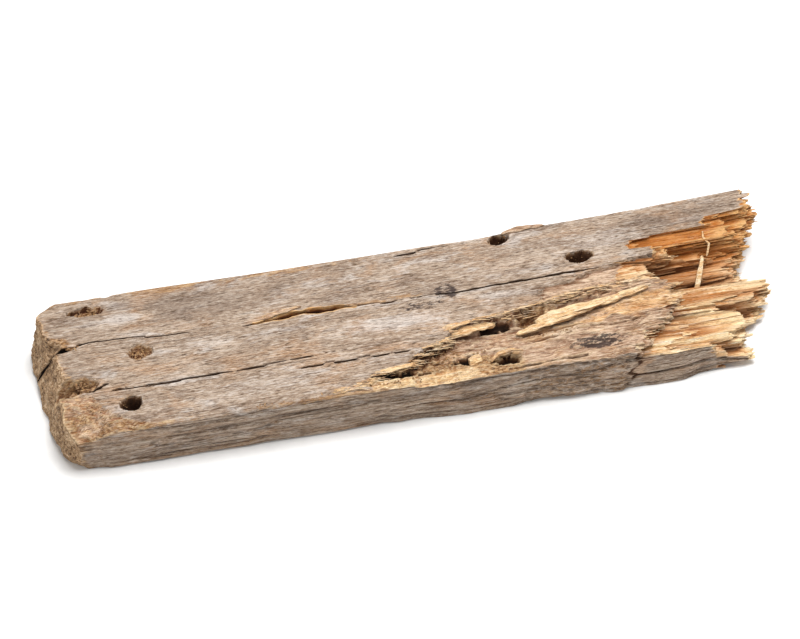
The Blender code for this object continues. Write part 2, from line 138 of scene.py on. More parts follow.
# The rotted pocket: x, the skin's broken edge y, and the floor's height there
POCKET_X = (
    -136, -128, -110, -80, -56, -44, -41, -18, -15, -10, -2, 8, 10, 22, 34, 52, 71, 90, 106, 124, 152, 240,
)
POCKET_SKIN_Y = (
    -51, -46.2, -45.6, -45.2, -44, -41, -37, -34.6, -30.5, -25.6, -23.6, -20.6, -12.8, -11, -10, -8, -4, -1,
    0.5, 1.5, 4, 5,
)
POCKET_FLOOR = (
    37.4, 37.1, 37.1, 36.9, 36.4, 35.8, 35, 34, 31, 30.2, 29.6, 29.8, 30.6, 30, 28.6, 28.4, 29.5, 30.5, 31,
    31.5, 32, 32,
)
POCKET_LAYER = 1.7
POCKET_RIM_RISE = 4.5
RIM_RISE_X = (-60, -10, 25, 45, 60, 110)
RIM_RISE_SHARE = (0.0, 0.15, 0.5, 0.9, 0.9, 0.1)

# Where the outer layer of the near side has broken off, and the crack below it
SHELF_X = 113.0
SHELF_CRACK_Z = 11.0

# The shallow step where the skin has lifted: x, near y, far y, height
STEP_X = (66, 86, 98, 112, 140, 240)
STEP_NEAR_Y = (-14, -12, -10, -9, -8, -8)
STEP_FAR_Y = (5, 6, 11, 12, 16, 16)
STEP_TOP = (36.4, 35.6, 35.2, 34.8, 34.4, 34.4)

# Pits in the pocket: place, half sizes, depth below the floor, how dark the painted shade in them is
PITS = (
    (14, -32.5, 7.5, 3.2, 7, 0.9),
    (40.6, -37.2, 8.5, 3.6, 7, 0.75),
    (37, -13.2, 11, 2, 6, 0.8),
    (-28, -38.8, 18, 3, 8, 1.4),
    (-7, -29, 7, 4, 3, 0.5),
    (58, -10, 7, 3.6, 3.5, 0.3),
    (76, -19.5, 22, 1.4, 2.6, 0.4),
    (66, -25.5, 16, 1, 2.2, 0.4),
    (112, -24, 20, 1, 2.4, 0.4),
    (54, -45.4, 13, 1.4, 3.4, 0.7),
    (74, -44, 14, 1.3, 3.4, 0.7),
)


def hex_colour(code):
    """An sRGB hex value as the linear colour that a shader takes."""
    parts = [int(code[i:i + 2], 16) / 255 for i in (1, 3, 5)]
    linear = [p / 12.92 if p <= 0.04045 else ((p + 0.055) / 1.055) ** 2.4 for p in parts]
    return (*linear, 1.0)


# Noise

HASH_STEPS = (374761393, 668265263, 2147483647)
HASH_SEED = 1274126177


def dice(ix, iy, iz=0, seed=0):
    """A random number from 0 to 1, the same each time for these whole numbers."""
    mixed = (
        np.asarray(ix, np.int64) * HASH_STEPS[0]
        + np.asarray(iy, np.int64) * HASH_STEPS[1]
        + np.asarray(iz, np.int64) * HASH_STEPS[2]
        + seed * HASH_SEED
    ) & 0xFFFFFFFF
    mixed = ((mixed ^ (mixed >> 13)) * HASH_SEED) & 0xFFFFFFFF
    mixed = ((mixed ^ (mixed >> 15)) * HASH_STEPS[1]) & 0xFFFFFFFF
    return (mixed ^ (mixed >> 16)) / 0xFFFFFFFF


def ease(value):
    """0 below 0, 1 above 1, and a smooth rise between."""
    share = np.clip(value, 0, 1)
    return share * share * (3 - 2 * share)


def rise(value, start, length):
    """0 up to start, then a smooth rise to 1 over a length."""
    return ease((value - start) / length)


def fall(value, end, length):
    """0 past end, and 1 until a length before it."""
    return ease((end - value) / length)


def most(*values):
    """The largest of several values at each point."""
    return np.maximum.reduce(np.broadcast_arrays(*values))


def spot(x, y, middle_x, middle_y, half_x, half_y):
    """How far out from a spot's middle a place lies: 1 at its half sizes."""
    return np.hypot((x - middle_x) / half_x, (y - middle_y) / half_y)


def waves(seed, x, y=0, z=0):
    """Smooth noise from -1 to 1 with bumps one unit wide."""
    x, y, z = np.broadcast_arrays(np.asarray(x, float), np.asarray(y, float), np.asarray(z, float))
    ix, iy, iz = np.floor(x), np.floor(y), np.floor(z)
    tx, ty, tz = ease(x - ix), ease(y - iy), ease(z - iz)
    total = np.zeros(x.shape)
    for dx in (0, 1):
        for dy in (0, 1):
            for dz in (0, 1):
                weight = (tx if dx else 1 - tx) * (ty if dy else 1 - ty) * (tz if dz else 1 - tz)
                total = total + weight * dice(ix + dx, iy + dy, iz + dz, seed)
    return total * 2 - 1


# The board's form, as functions of places on the straight board

FIBRE = 0.9
TEAR_LENGTH = 5.0


def torn_x(x, y, length=TEAR_LENGTH, seed=0):
    """x as each fibre feels it: each has torn a little further or nearer."""
    fibre = np.floor(y / FIBRE + 1.2 * waves(seed, x / 40, y / 5))
    bundle = np.floor(y / (FIBRE * 3.3) + waves(seed + 1, x / 60, y / 9))
    strays = (dice(fibre, 0, seed=seed + 2) - 0.5) + 1.2 * (dice(bundle, 0, seed=seed + 3) - 0.5)
    return x + length * strays


def crack_lines(x):
    """Each crack: its middle, half width and depth here, first and last x, mean y, widest half."""
    for number, points in enumerate(CRACKS):
        xs, ys, halves, depths = np.array(points, float).T
        wiggle = 0.5 * waves(number + 120, x / 7) + 0.2 * waves(number + 130, x / 2.2)
        ragged = 0.72 + 0.38 * waves(number + 140, x / 4.5)
        middle = np.interp(x, xs, ys) + wiggle
        half = np.interp(x, xs, halves) * ragged
        yield middle, half, np.interp(x, xs, depths), xs[0], xs[-1], ys.mean(), halves.max()


def follow_cracks(x, y, column):
    """Moves the net's columns so that some run along each crack's middle and lips."""
    for middle, half, _, first, last, mean_y, widest in crack_lines(x):
        track = round(float(mean_y) / column) * column
        open_here = ease((x - first) / CRACK_EASE + 1) * ease((last - x) / CRACK_EASE + 1)
        reach = CRACK_ROOM + 1.5 * widest
        off = y - track
        far = abs(off)
        lip = 2 * column
        inner = far * half / lip
        outer = half + (far - lip) * (reach - half) / (reach - lip)
        moved = np.sign(off) * np.where(far < lip, inner, outer)
        shift = (middle - track) * ease(1 - far / reach)
        y = np.where(far < reach, y + open_here * (moved - off + shift), y)
    return y


def crack_depth(x, y):
    """How deep the cracks cut here."""
    depth = np.zeros_like(x)
    for middle, half, deep, first, last, _, _ in crack_lines(x):
        profile = np.interp(abs(y - middle) / half, (0, 0.55, 1.02), (1, 0.85, 0))
        inside = (x > first - 0.5) & (x < last + 0.5)
        depth = most(depth, np.where(inside, profile * deep, 0))
    return depth


def hole_depth(x, y):
    """How deep the old nail holes cut here, with ragged rims."""
    depth = np.zeros_like(x)
    for number, (hole_x, hole_y, half_x, half_y, deep) in enumerate(NAIL_HOLES):
        ragged = 0.16 * waves(number, x / 4, y / 3.2) + 0.06 * waves(number, x / 2.2, y / 2)
        out = spot(x, y, hole_x, hole_y, half_x, half_y) + ragged
        rim = 0.5 * fall(out, 1.5, 0.6) * (deep > SHALLOW_HOLE)
        depth = most(depth, rim, deep * fall(out, 1, 0.42) ** 0.8)
    return depth


def pit_depth(x, y):
    """How deep the pits lie below the pocket's floor, and how dark they are."""
    depth, dark = np.zeros_like(x), np.zeros_like(x)
    for number, (pit_x, pit_y, half_x, half_y, deep, darkness) in enumerate(PITS):
        ragged = 0.45 * waves(number + 20, x / 5, y / 2)
        ragged = ragged + 0.25 * waves(number + 30, x / 2, y / 1.2)
        out = spot(torn_x(x, y, 3), y, pit_x, pit_y, half_x, half_y) + ragged
        inside = deep * fall(out, 1, 0.6)
        depth = most(depth, inside)
        dark = most(dark, darkness * np.clip(inside - 1.5, 0, 3))
    return depth, dark


def ledge_share(x, y):
    """1 on the lower strip of the floor, far of the ragged ledge that runs along it."""
    edge = -24 + 0.06 * (x - 45) + 1.5 * waves(15, x / 9)
    return ease((torn_x(x, y, 6, seed=16) - 46) / 6) * ease(y - edge) * fall(y, -3, 4)


def pocket_floor(x, y):
    """The pocket's floor: worn growth layers with torn edges, rising to the near rim."""
    floor = np.interp(x, POCKET_X, POCKET_FLOOR)
    at_rim = fall(y, -34, 14)
    lifted = POCKET_RIM_RISE * at_rim * np.interp(x, RIM_RISE_X, RIM_RISE_SHARE)
    rolling = 1.5 * waves(4, x / 22, y / 8) + 0.8 * waves(5, x / 9, y / 4)
    level = floor + lifted + rolling * rise(x, -60, 40)
    shifted = (level + 0.9 * waves(6, torn_x(x, y, 3) / 14, y / 3)) / POCKET_LAYER
    stepped = (np.floor(shifted) + ease((shifted - np.floor(shifted) - 0.6) / 0.4)) * POCKET_LAYER + 0.4
    combed = 0.4 * waves(7, x / 26, y / 1.4) + 0.25 * waves(8, x / 5, y / 0.9)
    crumbs = 0.9 * fall(x, 60, 30) * abs(waves(9, x / 2.2, y / 1.8))
    ledge = 1.8 * ledge_share(x, y)
    return 0.35 * level + 0.65 * stepped + combed + crumbs - ledge - pit_depth(x, y)[0]


# The pocket's wall: how far each growth layer's edge lies inside the skin's, and its share of the height
WALL_LAYERS = ((0.0, 0.34), (1.3, 0.3), (3.0, 0.36))


def past_layer(x, y, number=0, inset=0):
    """How far the torn edge of one of the wall's growth layers lies past this y; layer 0 is the skin."""
    tx = torn_x(x, y, 2.6 + number, seed=11 + 20 * number)
    edge = np.interp(tx, POCKET_X, POCKET_SKIN_Y) + 1.5 * waves(12, x / 9, y / 30) - inset
    return edge + (0.9 + 0.4 * number) * waves(13 + 20 * number, x / 2.5, y / 3) - y


def skin_lost(x, y):
    """1 where the weathered skin has gone and the pocket lies open, 0 where it is sound."""
    return ease(past_layer(x, y) / 1.3 + 0.5)


def wall_dropped(x, y):
    """How far the pocket's wall has dropped here, from 0 at the skin to 1 at the floor."""
    layers = enumerate(WALL_LAYERS)
    return sum(share * ease(past_layer(x, y, number, inset) / 0.9 + 0.5) for number, (inset, share) in layers)


def skin_lifted(x, y):
    """1 where the top layer of the skin has lifted off and left a shallow step."""
    tx = torn_x(x, y, 5, seed=14)
    near, far = np.interp(x, STEP_X, STEP_NEAR_Y), np.interp(tx, STEP_X, STEP_FAR_Y)
    return ease((tx - STEP_X[0]) / 2) * ease(y - near) * ease(far - y + 0.5)


def weathered_skin(x, y):
    """Height of the grey top face: late wood stands up in fine ridges along the grain."""
    drift = 2 * waves(31, x / 70, y / 18)
    ridges = 0.14 * waves(32, x / 60, (y + drift) / 1.3) + 0.10 * waves(33, x / 18, y / 0.8)
    wide = 0.3 * waves(34, x / 80, (y + drift) / 5)
    edge_wear = 0.9 * fall(y, -36, 14) ** 2 + 0.2 * rise(y, 44, 6)
    return THICKNESS - 0.35 + ridges + wide - edge_wear


def gouge_depth(x, y):
    """Height lost in the gouge beside the sawn end's far corner."""
    middle_x, middle_y, half, deep = GOUGE
    out = spot(x, y, middle_x, middle_y, half, 1.8 + 2.6 * rise(x, -216, 22))
    return deep * ease((1 - out - 0.2 * waves(40, x / 3, y / 2)) / 0.45)


def notch_depth(x, y):
    """Height lost in the lumpy notch that runs in from the sawn end."""
    off = abs(y - NOTCH_Y + 1.2 * waves(41, x / 5, y / 3)) / np.interp(x, *NOTCH_HALF)
    lumps = 1.8 * waves(46, x / 3.4, y / 2.2) + 1.2 * waves(47, x / 1.8, y / 1.5)
    return (np.interp(x, *NOTCH_DEPTH) + lumps) * fall(off, 1.2, 0.95) * (x < NOTCH_END_X)


def corner_depth(x, y):
    """Height lost at the broken near corner of the sawn end."""
    inner = np.interp(torn_x(x, y, 3, seed=42), *CORNER_Y)
    down = np.clip((inner - y) / most(inner + 50.5, 0.01), 0, 1)
    torn = 0.9 * ease((inner - y) / 1.2) * fall(x, CORNER_END_X, 10)
    slant = y + 0.3 * x + 2.6 * waves(45, x / 9, y / 7)
    lumps = 1.3 * waves(43, x / 8, slant / 2.4) + 0.9 * abs(waves(44, x / 6, slant / 1.3))
    drop = torn + np.interp(x, *CORNER_DROP) * down - (lumps - 0.4) * ease(down / 0.1)
    return drop * (down > 0)


def top_height(x, y):
    """Height of the board's top surface: skin, step, pocket, holes and cracks."""
    skin = weathered_skin(x, y)
    height = skin - most(gouge_depth(x, y), notch_depth(x, y), corner_depth(x, y))
    step = np.interp(x, STEP_X, STEP_TOP) + 0.35 * waves(51, x / 14, y / 1.2) - 0.2
    height = height + skin_lifted(x, y) * np.minimum(step - height, 0)
    height = height + wall_dropped(x, y) * np.minimum(pocket_floor(x, y) - height, 0)
    height = np.minimum(height, skin - hole_depth(x, y))
    return np.minimum(height, skin - crack_depth(x, y) * rise(height, 34, 2))


def sawn_back(y, z):
    """How far the sawn end lies back: its lean, worn corners and crumbling face."""
    up = z / THICKNESS
    far = np.clip((y - 38) / 12, 0, 1)
    near = np.clip((-15 - y) / 35, 0, 1)
    corners = 20 * far**2 * (0.4 + 0.6 * up) + 15 * near**2 * (1 - 0.5 * up)
    rim = np.clip((abs(up - 0.5) * 2 - 0.7) / 0.3, 0, 1)
    rough = 1.4 * waves(61, y / 9, z / 9) + 0.7 * waves(62, y / 3.4, z / 3.4)
    pores = 0.5 * waves(63, y / 1.3, z / 1.5)
    foot = np.interp(y, END_FOOT_Y, END_FOOT) * (1 - up)
    split_chip = 4.5 * ease(1 - abs(y - 17) / 7) * rise(up, 0.45, 0.5)
    chipped = split_chip + 2.5 * ease(1 - abs(y + 13) / 9) * up**3
    lean = np.interp(y, END_LEAN_Y, END_LEAN) * up
    return lean + foot + corners + chipped + 1.5 * rim**2 + rough + pores - 0.6


def plateau(place, edges):
    """A place as a row number between cell middles, flat over each cell and steep between."""
    number = np.interp(place, edges, range(len(edges))) - 0.5
    low = np.floor(number)
    share = ease((number - low - 0.5) / 0.3 + 0.5)
    return np.clip(low + share, 0, len(edges) - 2)


def table_at(rows, columns):
    """The reach table read between its cells."""
    table = np.array(SNAPPED_AT, float)
    r0, c0 = np.floor(rows).astype(int), np.floor(columns).astype(int)
    r1, c1 = np.minimum(r0 + 1, table.shape[0] - 1), np.minimum(c0 + 1, table.shape[1] - 1)
    tr, tc = rows - r0, columns - c0
    low = table[r0, c0] * (1 - tc) + table[r0, c1] * tc
    high = table[r1, c0] * (1 - tc) + table[r1, c1] * tc
    return low * (1 - tr) + high * tr


def fibre_cells(y, z, width, height, seed):
    """Staggered cells of the section: each one's middle, its random number and how near its rim."""
    warp_y = y + 0.45 * width * waves(seed, y / width / 1.6, z / height / 1.6)
    warp_z = z + 0.45 * height * waves(seed + 1, y / width / 1.6, z / height / 1.6)
    row = np.floor(warp_z / height)
    shift = width * dice(row, 0, seed=seed + 2)
    column = np.floor((warp_y + shift) / width)
    middle_y, middle_z = (column + 0.5) * width - shift, (row + 0.5) * height
    rim = np.hypot((warp_y - middle_y) / width, (warp_z - middle_z) / height) * 2
    return middle_y, middle_z, dice(row, column, seed=seed + 3), rim


def break_reach(y, z):
    """How far each fibre of the section reaches before it has snapped."""
    middle_y, middle_z, fibre, rim = fibre_cells(y, z, 1.5, 1.1, 71)
    across = middle_y + 1.2 * waves(76, y / 7, z / 5)
    up = middle_z + 1.1 * waves(77, y / 6, z / 6)
    base = table_at(plateau(up, LAYER_EDGES), plateau(across, STRIP_EDGES))
    bundle = fibre_cells(y, z, 4.6, 2.4, 81)[2]
    rounded_tip = 1.2 * np.clip(rim, 0, 1.2) ** 2
    spike = 4 * rise(fibre, 0.88, 0.12)
    reach = base + 8 * (bundle - 0.6) + 3 * (fibre - 0.5) + spike - rounded_tip
    return np.minimum(reach, REACH_LIMIT - 3.5 * fibre - rounded_tip)


def sag(x, y, z):
    """How far the near fibres have bent down past the sound wood."""
    return DROOP * rise(x, SOUND_END_X, DROOP_SPAN) * fall(y, 2, 6) * rise(z, 4, 6)


# Nets: a box cut into rows along, columns across and levels up, then moved onto the board's form

# Past the first share of a net's height or length a point is on its last face, below the second on its first
TOP_SHARE = 0.999
END_SHARE = 0.001


def netted_box(rows, columns, levels):
    """A unit box whose faces are cut into a net."""
    bm = bmesh.new()
    bmesh.ops.create_cube(bm, size=1)
    bmesh.ops.translate(bm, vec=(0.5, 0.5, 0.5), verts=bm.verts)
    for axis, pieces in enumerate((rows, columns, levels)):
        along = [e for e in bm.edges if abs(e.verts[0].co[axis] - e.verts[1].co[axis]) > 0.5]
        bmesh.ops.subdivide_edges(bm, edges=along, cuts=pieces - 1, use_grid_fill=True)
    return bm


def read_points(mesh):
    points = np.empty(len(mesh.vertices) * 3)
    mesh.vertices.foreach_get("co", points)
    return points.reshape(-1, 3).T


def settle(mesh, x, y, z):
    """Puts the points on the bent board, in metres."""
    bent = y + BEND * (x / BEND_SPAN) ** 2
    points = np.stack((x, bent, z)).T * MM
    mesh.vertices.foreach_set("co", points.ravel())
    mesh.update()


def add_values(mesh, **values):
    """Stores values at the mesh's points for the materials to read."""
    for name, numbers in values.items():
        attribute = mesh.attributes.new(name, "FLOAT", "POINT")
        attribute.data.foreach_set("value", np.asarray(numbers, np.float32))


def placed(name, data):
    """An object in the scene with this mesh, camera or light."""
    thing = bpy.data.objects.new(name, data)
    bpy.context.scene.collection.objects.link(thing)
    return thing


def object_from(name, bm, material):
    """An object from the bmesh, with one material."""
    mesh = bpy.data.meshes.new(name)
    bm.to_mesh(mesh)
    bm.free()
    mesh.materials.append(material)
    return placed(name, mesh)


def finish_piece(name, bm, material):
    """An object from the bmesh, riding on the board and standing for it."""
    piece = object_from(name, bm, material)
    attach(piece, "root")
    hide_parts("rotted_board")
    return piece


def rounded(y, z, top, radius):
    """Rounds the section's long edges."""
    core_y = np.clip(y, radius - WIDTH / 2, WIDTH / 2 - radius)
    core_z = np.clip(z, radius, top - radius)
    off_y, off_z = y - core_y, z - core_z
    far = most(np.hypot(off_y, off_z), 1e-6)
    pull = np.minimum(1, radius / far)
    return core_y + off_y * pull, core_z + off_z * pull


def side_relief(x, y, z):
    """Fine ridges and long shallow hollows of the side faces, inward from the sawn line."""
    side = np.where(y > 0, 1, -1)
    drift = 2 * waves(81, x / 80, z / 9)
    fine = 0.32 * waves(82, x / 40, (z + drift) / 2.2, side)
    fine = fine + 0.2 * waves(83, x / 10, z / 2.2, side)
    wide = 0.5 * waves(84, x / 60, (z + drift) / 8, side)
    furrow = ease(1 - abs(waves(85, x / 70, (z + drift) / 6, side)) / 0.16)
    pitted = 1.3 * abs(waves(87, x / 5, z / 2.6)) * rough_side(x, y)
    return -0.4 + fine + wide - furrow - pitted - shelf_depth(x, y, z)[0]


def rough_side(x, y):
    """1 on the brown, pitted part of the near side, before the layer that has broken off."""
    return rise(x, 36, 20) * ease((SHELF_X + 1 - x) / 4) * (y < 0)


def shelf_depth(x, y, z):
    """How far the near side is set back past the broken-off layer, the painted shade of the line along its
    step and crack, and the paler wood.
    """
    off = x - SHELF_X - 2.5 * waves(88, z / 3) - 0.3 * (z - 18)
    back = 1.3 * ease(off / 2)
    crack = ease(1 - abs(z - SHELF_CRACK_Z - 0.04 * (x - 130)) / 1.3)
    crack = crack * ease(off / 3) * fall(x, 168, 10)
    step = ease(1 - abs(off - 1.5) / 2.2) * rise(z, 7, 4)
    bared = ease(off / 1.5) * fall(off, 15, 10) * rise(z, 9, 3)
    return (back + 1.8 * crack) * (y < 0), most(crack, step) * (y < -44), bared * (y < -44)


def on_board(x, y, z, flat_top, column):
    """Moves a net's points to the worn surface. Gives them, the depth below the skin and in cracks; the crack
    depth later sets painted shade.
    """
    share = z
    y = y + (follow_cracks(x, y, column) - y) * share
    split = fall(x, -206, 8) * ease(1 - abs(y - 15) / 9)
    top = top_height(x, y)
    deep = np.where(flat_top, weathered_skin(x, y) - top, 0)
    gap = np.where(flat_top, crack_depth(x, y), 0)
    z = share * top
    y = y + 5 * split * (1 - z / THICKNESS)
    at_side = ease((abs(y) - 46) / 4)
    y = y + np.sign(y) * at_side * side_relief(x, y, z)
    near_end = fall(x, -165, END_WEAR_REACH)
    y = y - 1.2 * near_end * rise(y, 40, 9)
    up = np.clip(z / THICKNESS, 0, 1)
    near = np.interp(x, NEAR_X, NEAR_FOOT) * (1 - up) + np.interp(x, NEAR_X, NEAR_TOP) * up
    near = near + (0.35 + 0.75 * rise(x, -60, 50)) * waves(86, x / 13) * (1 - up)
    shoulder = np.interp(x, *SHOULDER)
    radius = np.where(y > 0, 1.2, shoulder * (0.35 + 0.65 * rise(top, 31, 4)))
    y, z = rounded(y, z, top, radius)
    y = y + near * fall(y, -40, 9)
    y = y + np.interp(x, *FAR_OUT) * rise(y, 38, 10)
    return x, y, z, deep, gap


# What the materials read at each point

# Rounds of smoothing that a hollow is measured against, and the depth in mm that counts as full; the hollows
# set the painted shade in crevices and the painted highlights on crests
FINE_HOLLOW = (3, 0.5)
WIDE_HOLLOW = (40, 3.0)
STRIP_HOLLOW = (3, 0.4)


def hollow_at(mesh, rounds, reach):
    """How far each point lies below (above, if negative) the surface around it, as a share of reach in mm."""
    count = len(mesh.vertices)
    ends = np.empty(len(mesh.edges) * 2, np.int32)
    mesh.edges.foreach_get("vertices", ends)
    first, second = ends[0::2], ends[1::2]
    degree = np.bincount(ends, minlength=count)
    points = read_points(mesh) / MM
    smooth = points
    for _ in range(rounds):
        smooth = np.stack([
            (np.bincount(first, s[second], count) + np.bincount(second, s[first], count)) / degree
            for s in smooth
        ])
    normals = np.empty(count * 3)
    mesh.vertices.foreach_get("normal", normals)
    return np.clip(np.sum((smooth - points) * normals.reshape(-1, 3).T, axis=0) / reach, -1, 1)


# Directions and distances along which the painted shade deep in the break is measured
RECESS_RAYS = ((1, 0), (0.87, 0.5), (0.5, 0.87), (0, 1), (-0.5, 0.87), (-0.87, 0.5), (-1, 0))
RECESS_STEPS = (4.0, 8.0, 13.0, 20.0)


def recess_at(x, y, z):
    """Share of the directions across the board that longer fibres or the skin block, for the painted shade
    deep in the break.
    """
    blocked = np.zeros_like(x)
    for aside, up in RECESS_RAYS:
        hit = np.zeros(x.shape, bool)
        for far in RECESS_STEPS:
            py, pz = y + aside * far, z + up * far
            reach = table_at(plateau(pz, LAYER_EDGES), plateau(py, STRIP_EDGES))
            top = np.interp(py, (-50, 3, 5, 50), (32, 32, THICKNESS, THICKNESS))
            hit |= (abs(py) < WIDTH / 2) & (pz > 0) & (pz < top) & (reach > x + 3 + 0.4 * far)
        blocked += hit
    return rise(x, 108, 8) * blocked / len(RECESS_RAYS)


# Which crack opens into the wide slot
SLOT_CRACK = 4

# How strongly warm wood shows along the far and the near top edges
FAR_EDGE_TONE = ((-230, -190, -160, -95, -55, 0, 40), (0.5, 0.55, 1.0, 0.9, 0.5, 0.15, 0.0))
NEAR_EDGE_TONE = ((-170, -150, -125, -105, -60, 10, 50), (1.0, 0.5, 0.15, 0.6, 1.0, 0.9, 0.0))

# Patches of the skin that are paler (+) or darker (-): place, half sizes, tone
SKIN_PATCHES = (
    (-150, 33, 75, 14, -0.95), (-176, 31, 22, 7, 1.6), (-20, -3, 42, 8, 0.7), (-100, -32, 60, 10, 0.35),
    (168, 40, 38, 10, -0.8), (-70, 36, 30, 8, -0.35), (70, 34, 30, 9, -0.25), (45, 5, 22, 4, 0.6),
    (-215, 0, 14, 12, -0.3), (115, 32, 40, 9, 0.45), (-130, 5, 30, 6, 0.4), (8, 17, 20, 5, -0.7),
)

# Dark stains: place, half sizes, how wide it spreads, how it leans, its lowest height, strength
STAINS = (
    (14, 13.5, 8, 6.5, 1.6, 0, 30, 1),
    (-2, 7, 17, 5, 1.5, 0, 30, 0.62),
    (94, -35, 17, 5.8, 1.6, 0.1, 20, 0.95),
)


def skin_tone(x, y, z):
    """How much paler or darker the skin is here than elsewhere."""
    tones = (tone * ease(1.2 - spot(x, y, *patch)) * (z > 20) for *patch, tone in SKIN_PATCHES)
    return sum(tones)


def honey_share(y):
    """How orange the fresh fibres are: -1 is cream, on the near side, and 1 honey, on the far side."""
    return rise(y, 12, 10) - fall(y, -16, 8)


def slot_places(x, y):
    """Where the wide slot's far wall shows, and where the slot is open."""
    stretch = (x > -104) & (x < -40) & (y > 10) & (y < 20)
    middle, half = list(crack_lines(x))[SLOT_CRACK][:2]
    return stretch & (y > middle + 0.45 * half), stretch & (abs(y - middle) < 1.2 * half + 0.2)


def pocket_bared(x, y, deep):
    """1 where the pocket's wood shows."""
    return skin_lost(x, y) * rise(deep, 0.3, 0.8)


def hole_share(x, y, deep):
    """1 inside the nail holes."""
    return ease(hole_depth(x, y) - 0.4) * ease(deep - 0.3)


def gouge_share(x, y, deep):
    """1 inside the gouge of the sawn end."""
    return ease(deep - 0.3) * (x < -184) * (y > 33)


def wood_kinds(x, y, z, deep, torn):
    """How aged, how freshly torn and how rotten the wood is, and how warm its colour."""
    lost, hole, gouge = pocket_bared(x, y, deep), hole_share(x, y, deep), gouge_share(x, y, deep)
    lifted = skin_lifted(x, y) * ease(deep / 0.6)
    patches = waves(101, x / 16, y / 7)
    in_hole = ease(hole_depth(x, y) / 0.4)
    corner = fall(x, -158, 10) * fall(y, -17, 5) * ease(deep / 0.6) * (1 - in_hole)
    in_slot = slot_places(x, y)[1]
    notch = rise(deep, 0.4, 1.5) * (x < -198) * (y > -21) * (y < -6)
    hollow = ease(1.5 - spot(x, y, 58, -10, 8, 4.5))
    crumbly = lost * most(fall(x, 6, 8), fall(y, -29, 3) * fall(x, 54, 8), hollow)
    old_lip = torn * fall(x, 153, 6) * rise(z, 25, 1.5) * fall(y, 3, 3)
    near_rim = lost * fall(y, -36, 5) * fall(x, 34, 20)
    split_lip = ease(1.5 - spot(x, y, -219, 17.5, 9, 6)) * (z > 12)
    bared = 0.62 * shelf_depth(x, y, z)[2]
    aged = most(0.85 * lost, 0.8 * lifted, 0.9 * hole, 0.9 * notch, gouge, corner, 0.9 * old_lip, bared)
    fresh = most(
        0.9 * torn - 0.75 * old_lip, 0.65 * near_rim, 0.9 * in_slot, 0.32 * corner,
        crumbly * ease(0.55 + 0.8 * patches) * 0.7,
        lost * ledge_share(x, y) * (0.45 + 0.35 * patches),
    )
    rot = most(
        0.85 * crumbly * (1 - 0.5 * near_rim), 0.7 * corner * ease(0.3 + 1.5 * patches),
        0.9 * notch, 0.9 * gouge, 0.8 * hole, 0.9 * split_lip, 0.42 * rough_side(x, y) * (y < -44),
    )
    return aged, fresh, rot, torn * honey_share(y) - 0.7 * near_rim + 0.9 * in_slot


def painted_shade(x, y, z, deep, gap, torn):
    """Painted shade: the dark of cracks, holes, pits, the pocket's wall and bowl, its broken rims and the
    line along the near side's broken layer.
    """
    # In the slot, painted shadow only at its deep floor; its far wall is left undarkened.
    gap = np.where(slot_places(x, y)[0], 1.3 * np.clip(gap - 2.6, 0, 3), gap)
    # Painted shade in the nail holes, lighter for those past the middle, and mottled in the shallow hole and
    # the gouge.
    in_holes = np.clip(hole_depth(x, y) - 0.6, 0, 2) * ((abs(x + 171) > 12) | (y < -12))
    mottled = ease(0.4 + 1.8 * waves(106, x / 4, y / 2.4))
    shallow_hole = hole_share(x, y, deep) * (x < -160) * (y > -12)
    # Painted shade on the pocket's wall, in its bowl and in a thin line along the skin's broken edge, where
    # they lie below the skin.
    wall = ease(1 - abs(wall_dropped(x, y) - 0.55) / 0.45) * rise(deep, 1.5, 2)
    inside = np.interp(x, POCKET_X, POCKET_SKIN_Y) - y + 0.8 * waves(107, x / 3, y / 3)
    bowl = rise(inside, -0.2, 0.8) * fall(inside, 4.6, 1.8) * rise(x, -22, 3) * fall(x, 9, 6)
    rim_line = ease(1 - abs(inside - 0.5) / 0.8) * rise(x, 14, 6) * fall(x, 108, 8)
    shade = most(
        in_holes * np.where(x > 0, 0.68, 0.9),
        1.15 * mottled * most(shallow_hole, gouge_share(x, y, deep)),
        1.7 * rim_line, 1.9 * bowl,
        2 * wall * (x > -22) * (x < 12) * (y < -18),
        pit_depth(x, y)[1] * (pocket_bared(x, y, deep) > 0.5),
    )
    # Painted shade along the step and in the crack of the near side's broken layer.
    shelf_line = shelf_depth(x, y, z)[1]
    return most(gap, shade * (deep > 0.2), 1.9 * shelf_line * (z < 33) * (1 - torn))


def worn_edges(x, y, z, deep, gap, end_grain):
    """Where warm wood shows: along both top edges, round the saw cut, on torn lips and past the slot."""
    broken = ease(0.45 + 1.5 * waves(103, x / 18, y / 7, z / 7))
    far_edge = ease((y - 44.2 + 1.8 * waves(104, x / 7)) / 2.5) * rise(z, 32, 5)
    far_edge = far_edge * broken * np.interp(x, *FAR_EDGE_TONE)
    near_edge = fall(y, -44.5, 3) * rise(z, 33, 3) * np.interp(x, *NEAR_EDGE_TONE)
    saw_distance = x - SAWN_END_X - sawn_back(y, z)
    saw_rim = 0.75 * ease(1 - saw_distance / 7) * (1 - end_grain) * (0.5 + 0.5 * broken)
    lip = 0.7 * ease(1 - abs(deep - 0.6) / 0.5) * (1 - ease(gap / 0.3)) * (1 - hole_share(x, y, deep))
    lip = lip * ease(0.35 + 1.6 * waves(102, x / 8, y / 5))
    band = rise(x, -60, 15) * fall(x, 6, 12) * ease(1.6 - abs(y - 15.2) / 1.5) * (z > 30)
    band = band * ease(0.6 + waves(105, x / 5, y / 1.5))
    return most(far_edge, near_edge, saw_rim, lip, 0.9 * band)


def stained(x, y, z):
    """How dark the stains are, each on the skin or the pocket's floor."""
    return most(*(
        strength * ease(wide - 1.2 * spot(x, y + lean * (x - patch[0]), *patch)) * (z > lowest)
        for *patch, wide, lean, lowest, strength in STAINS
    ))


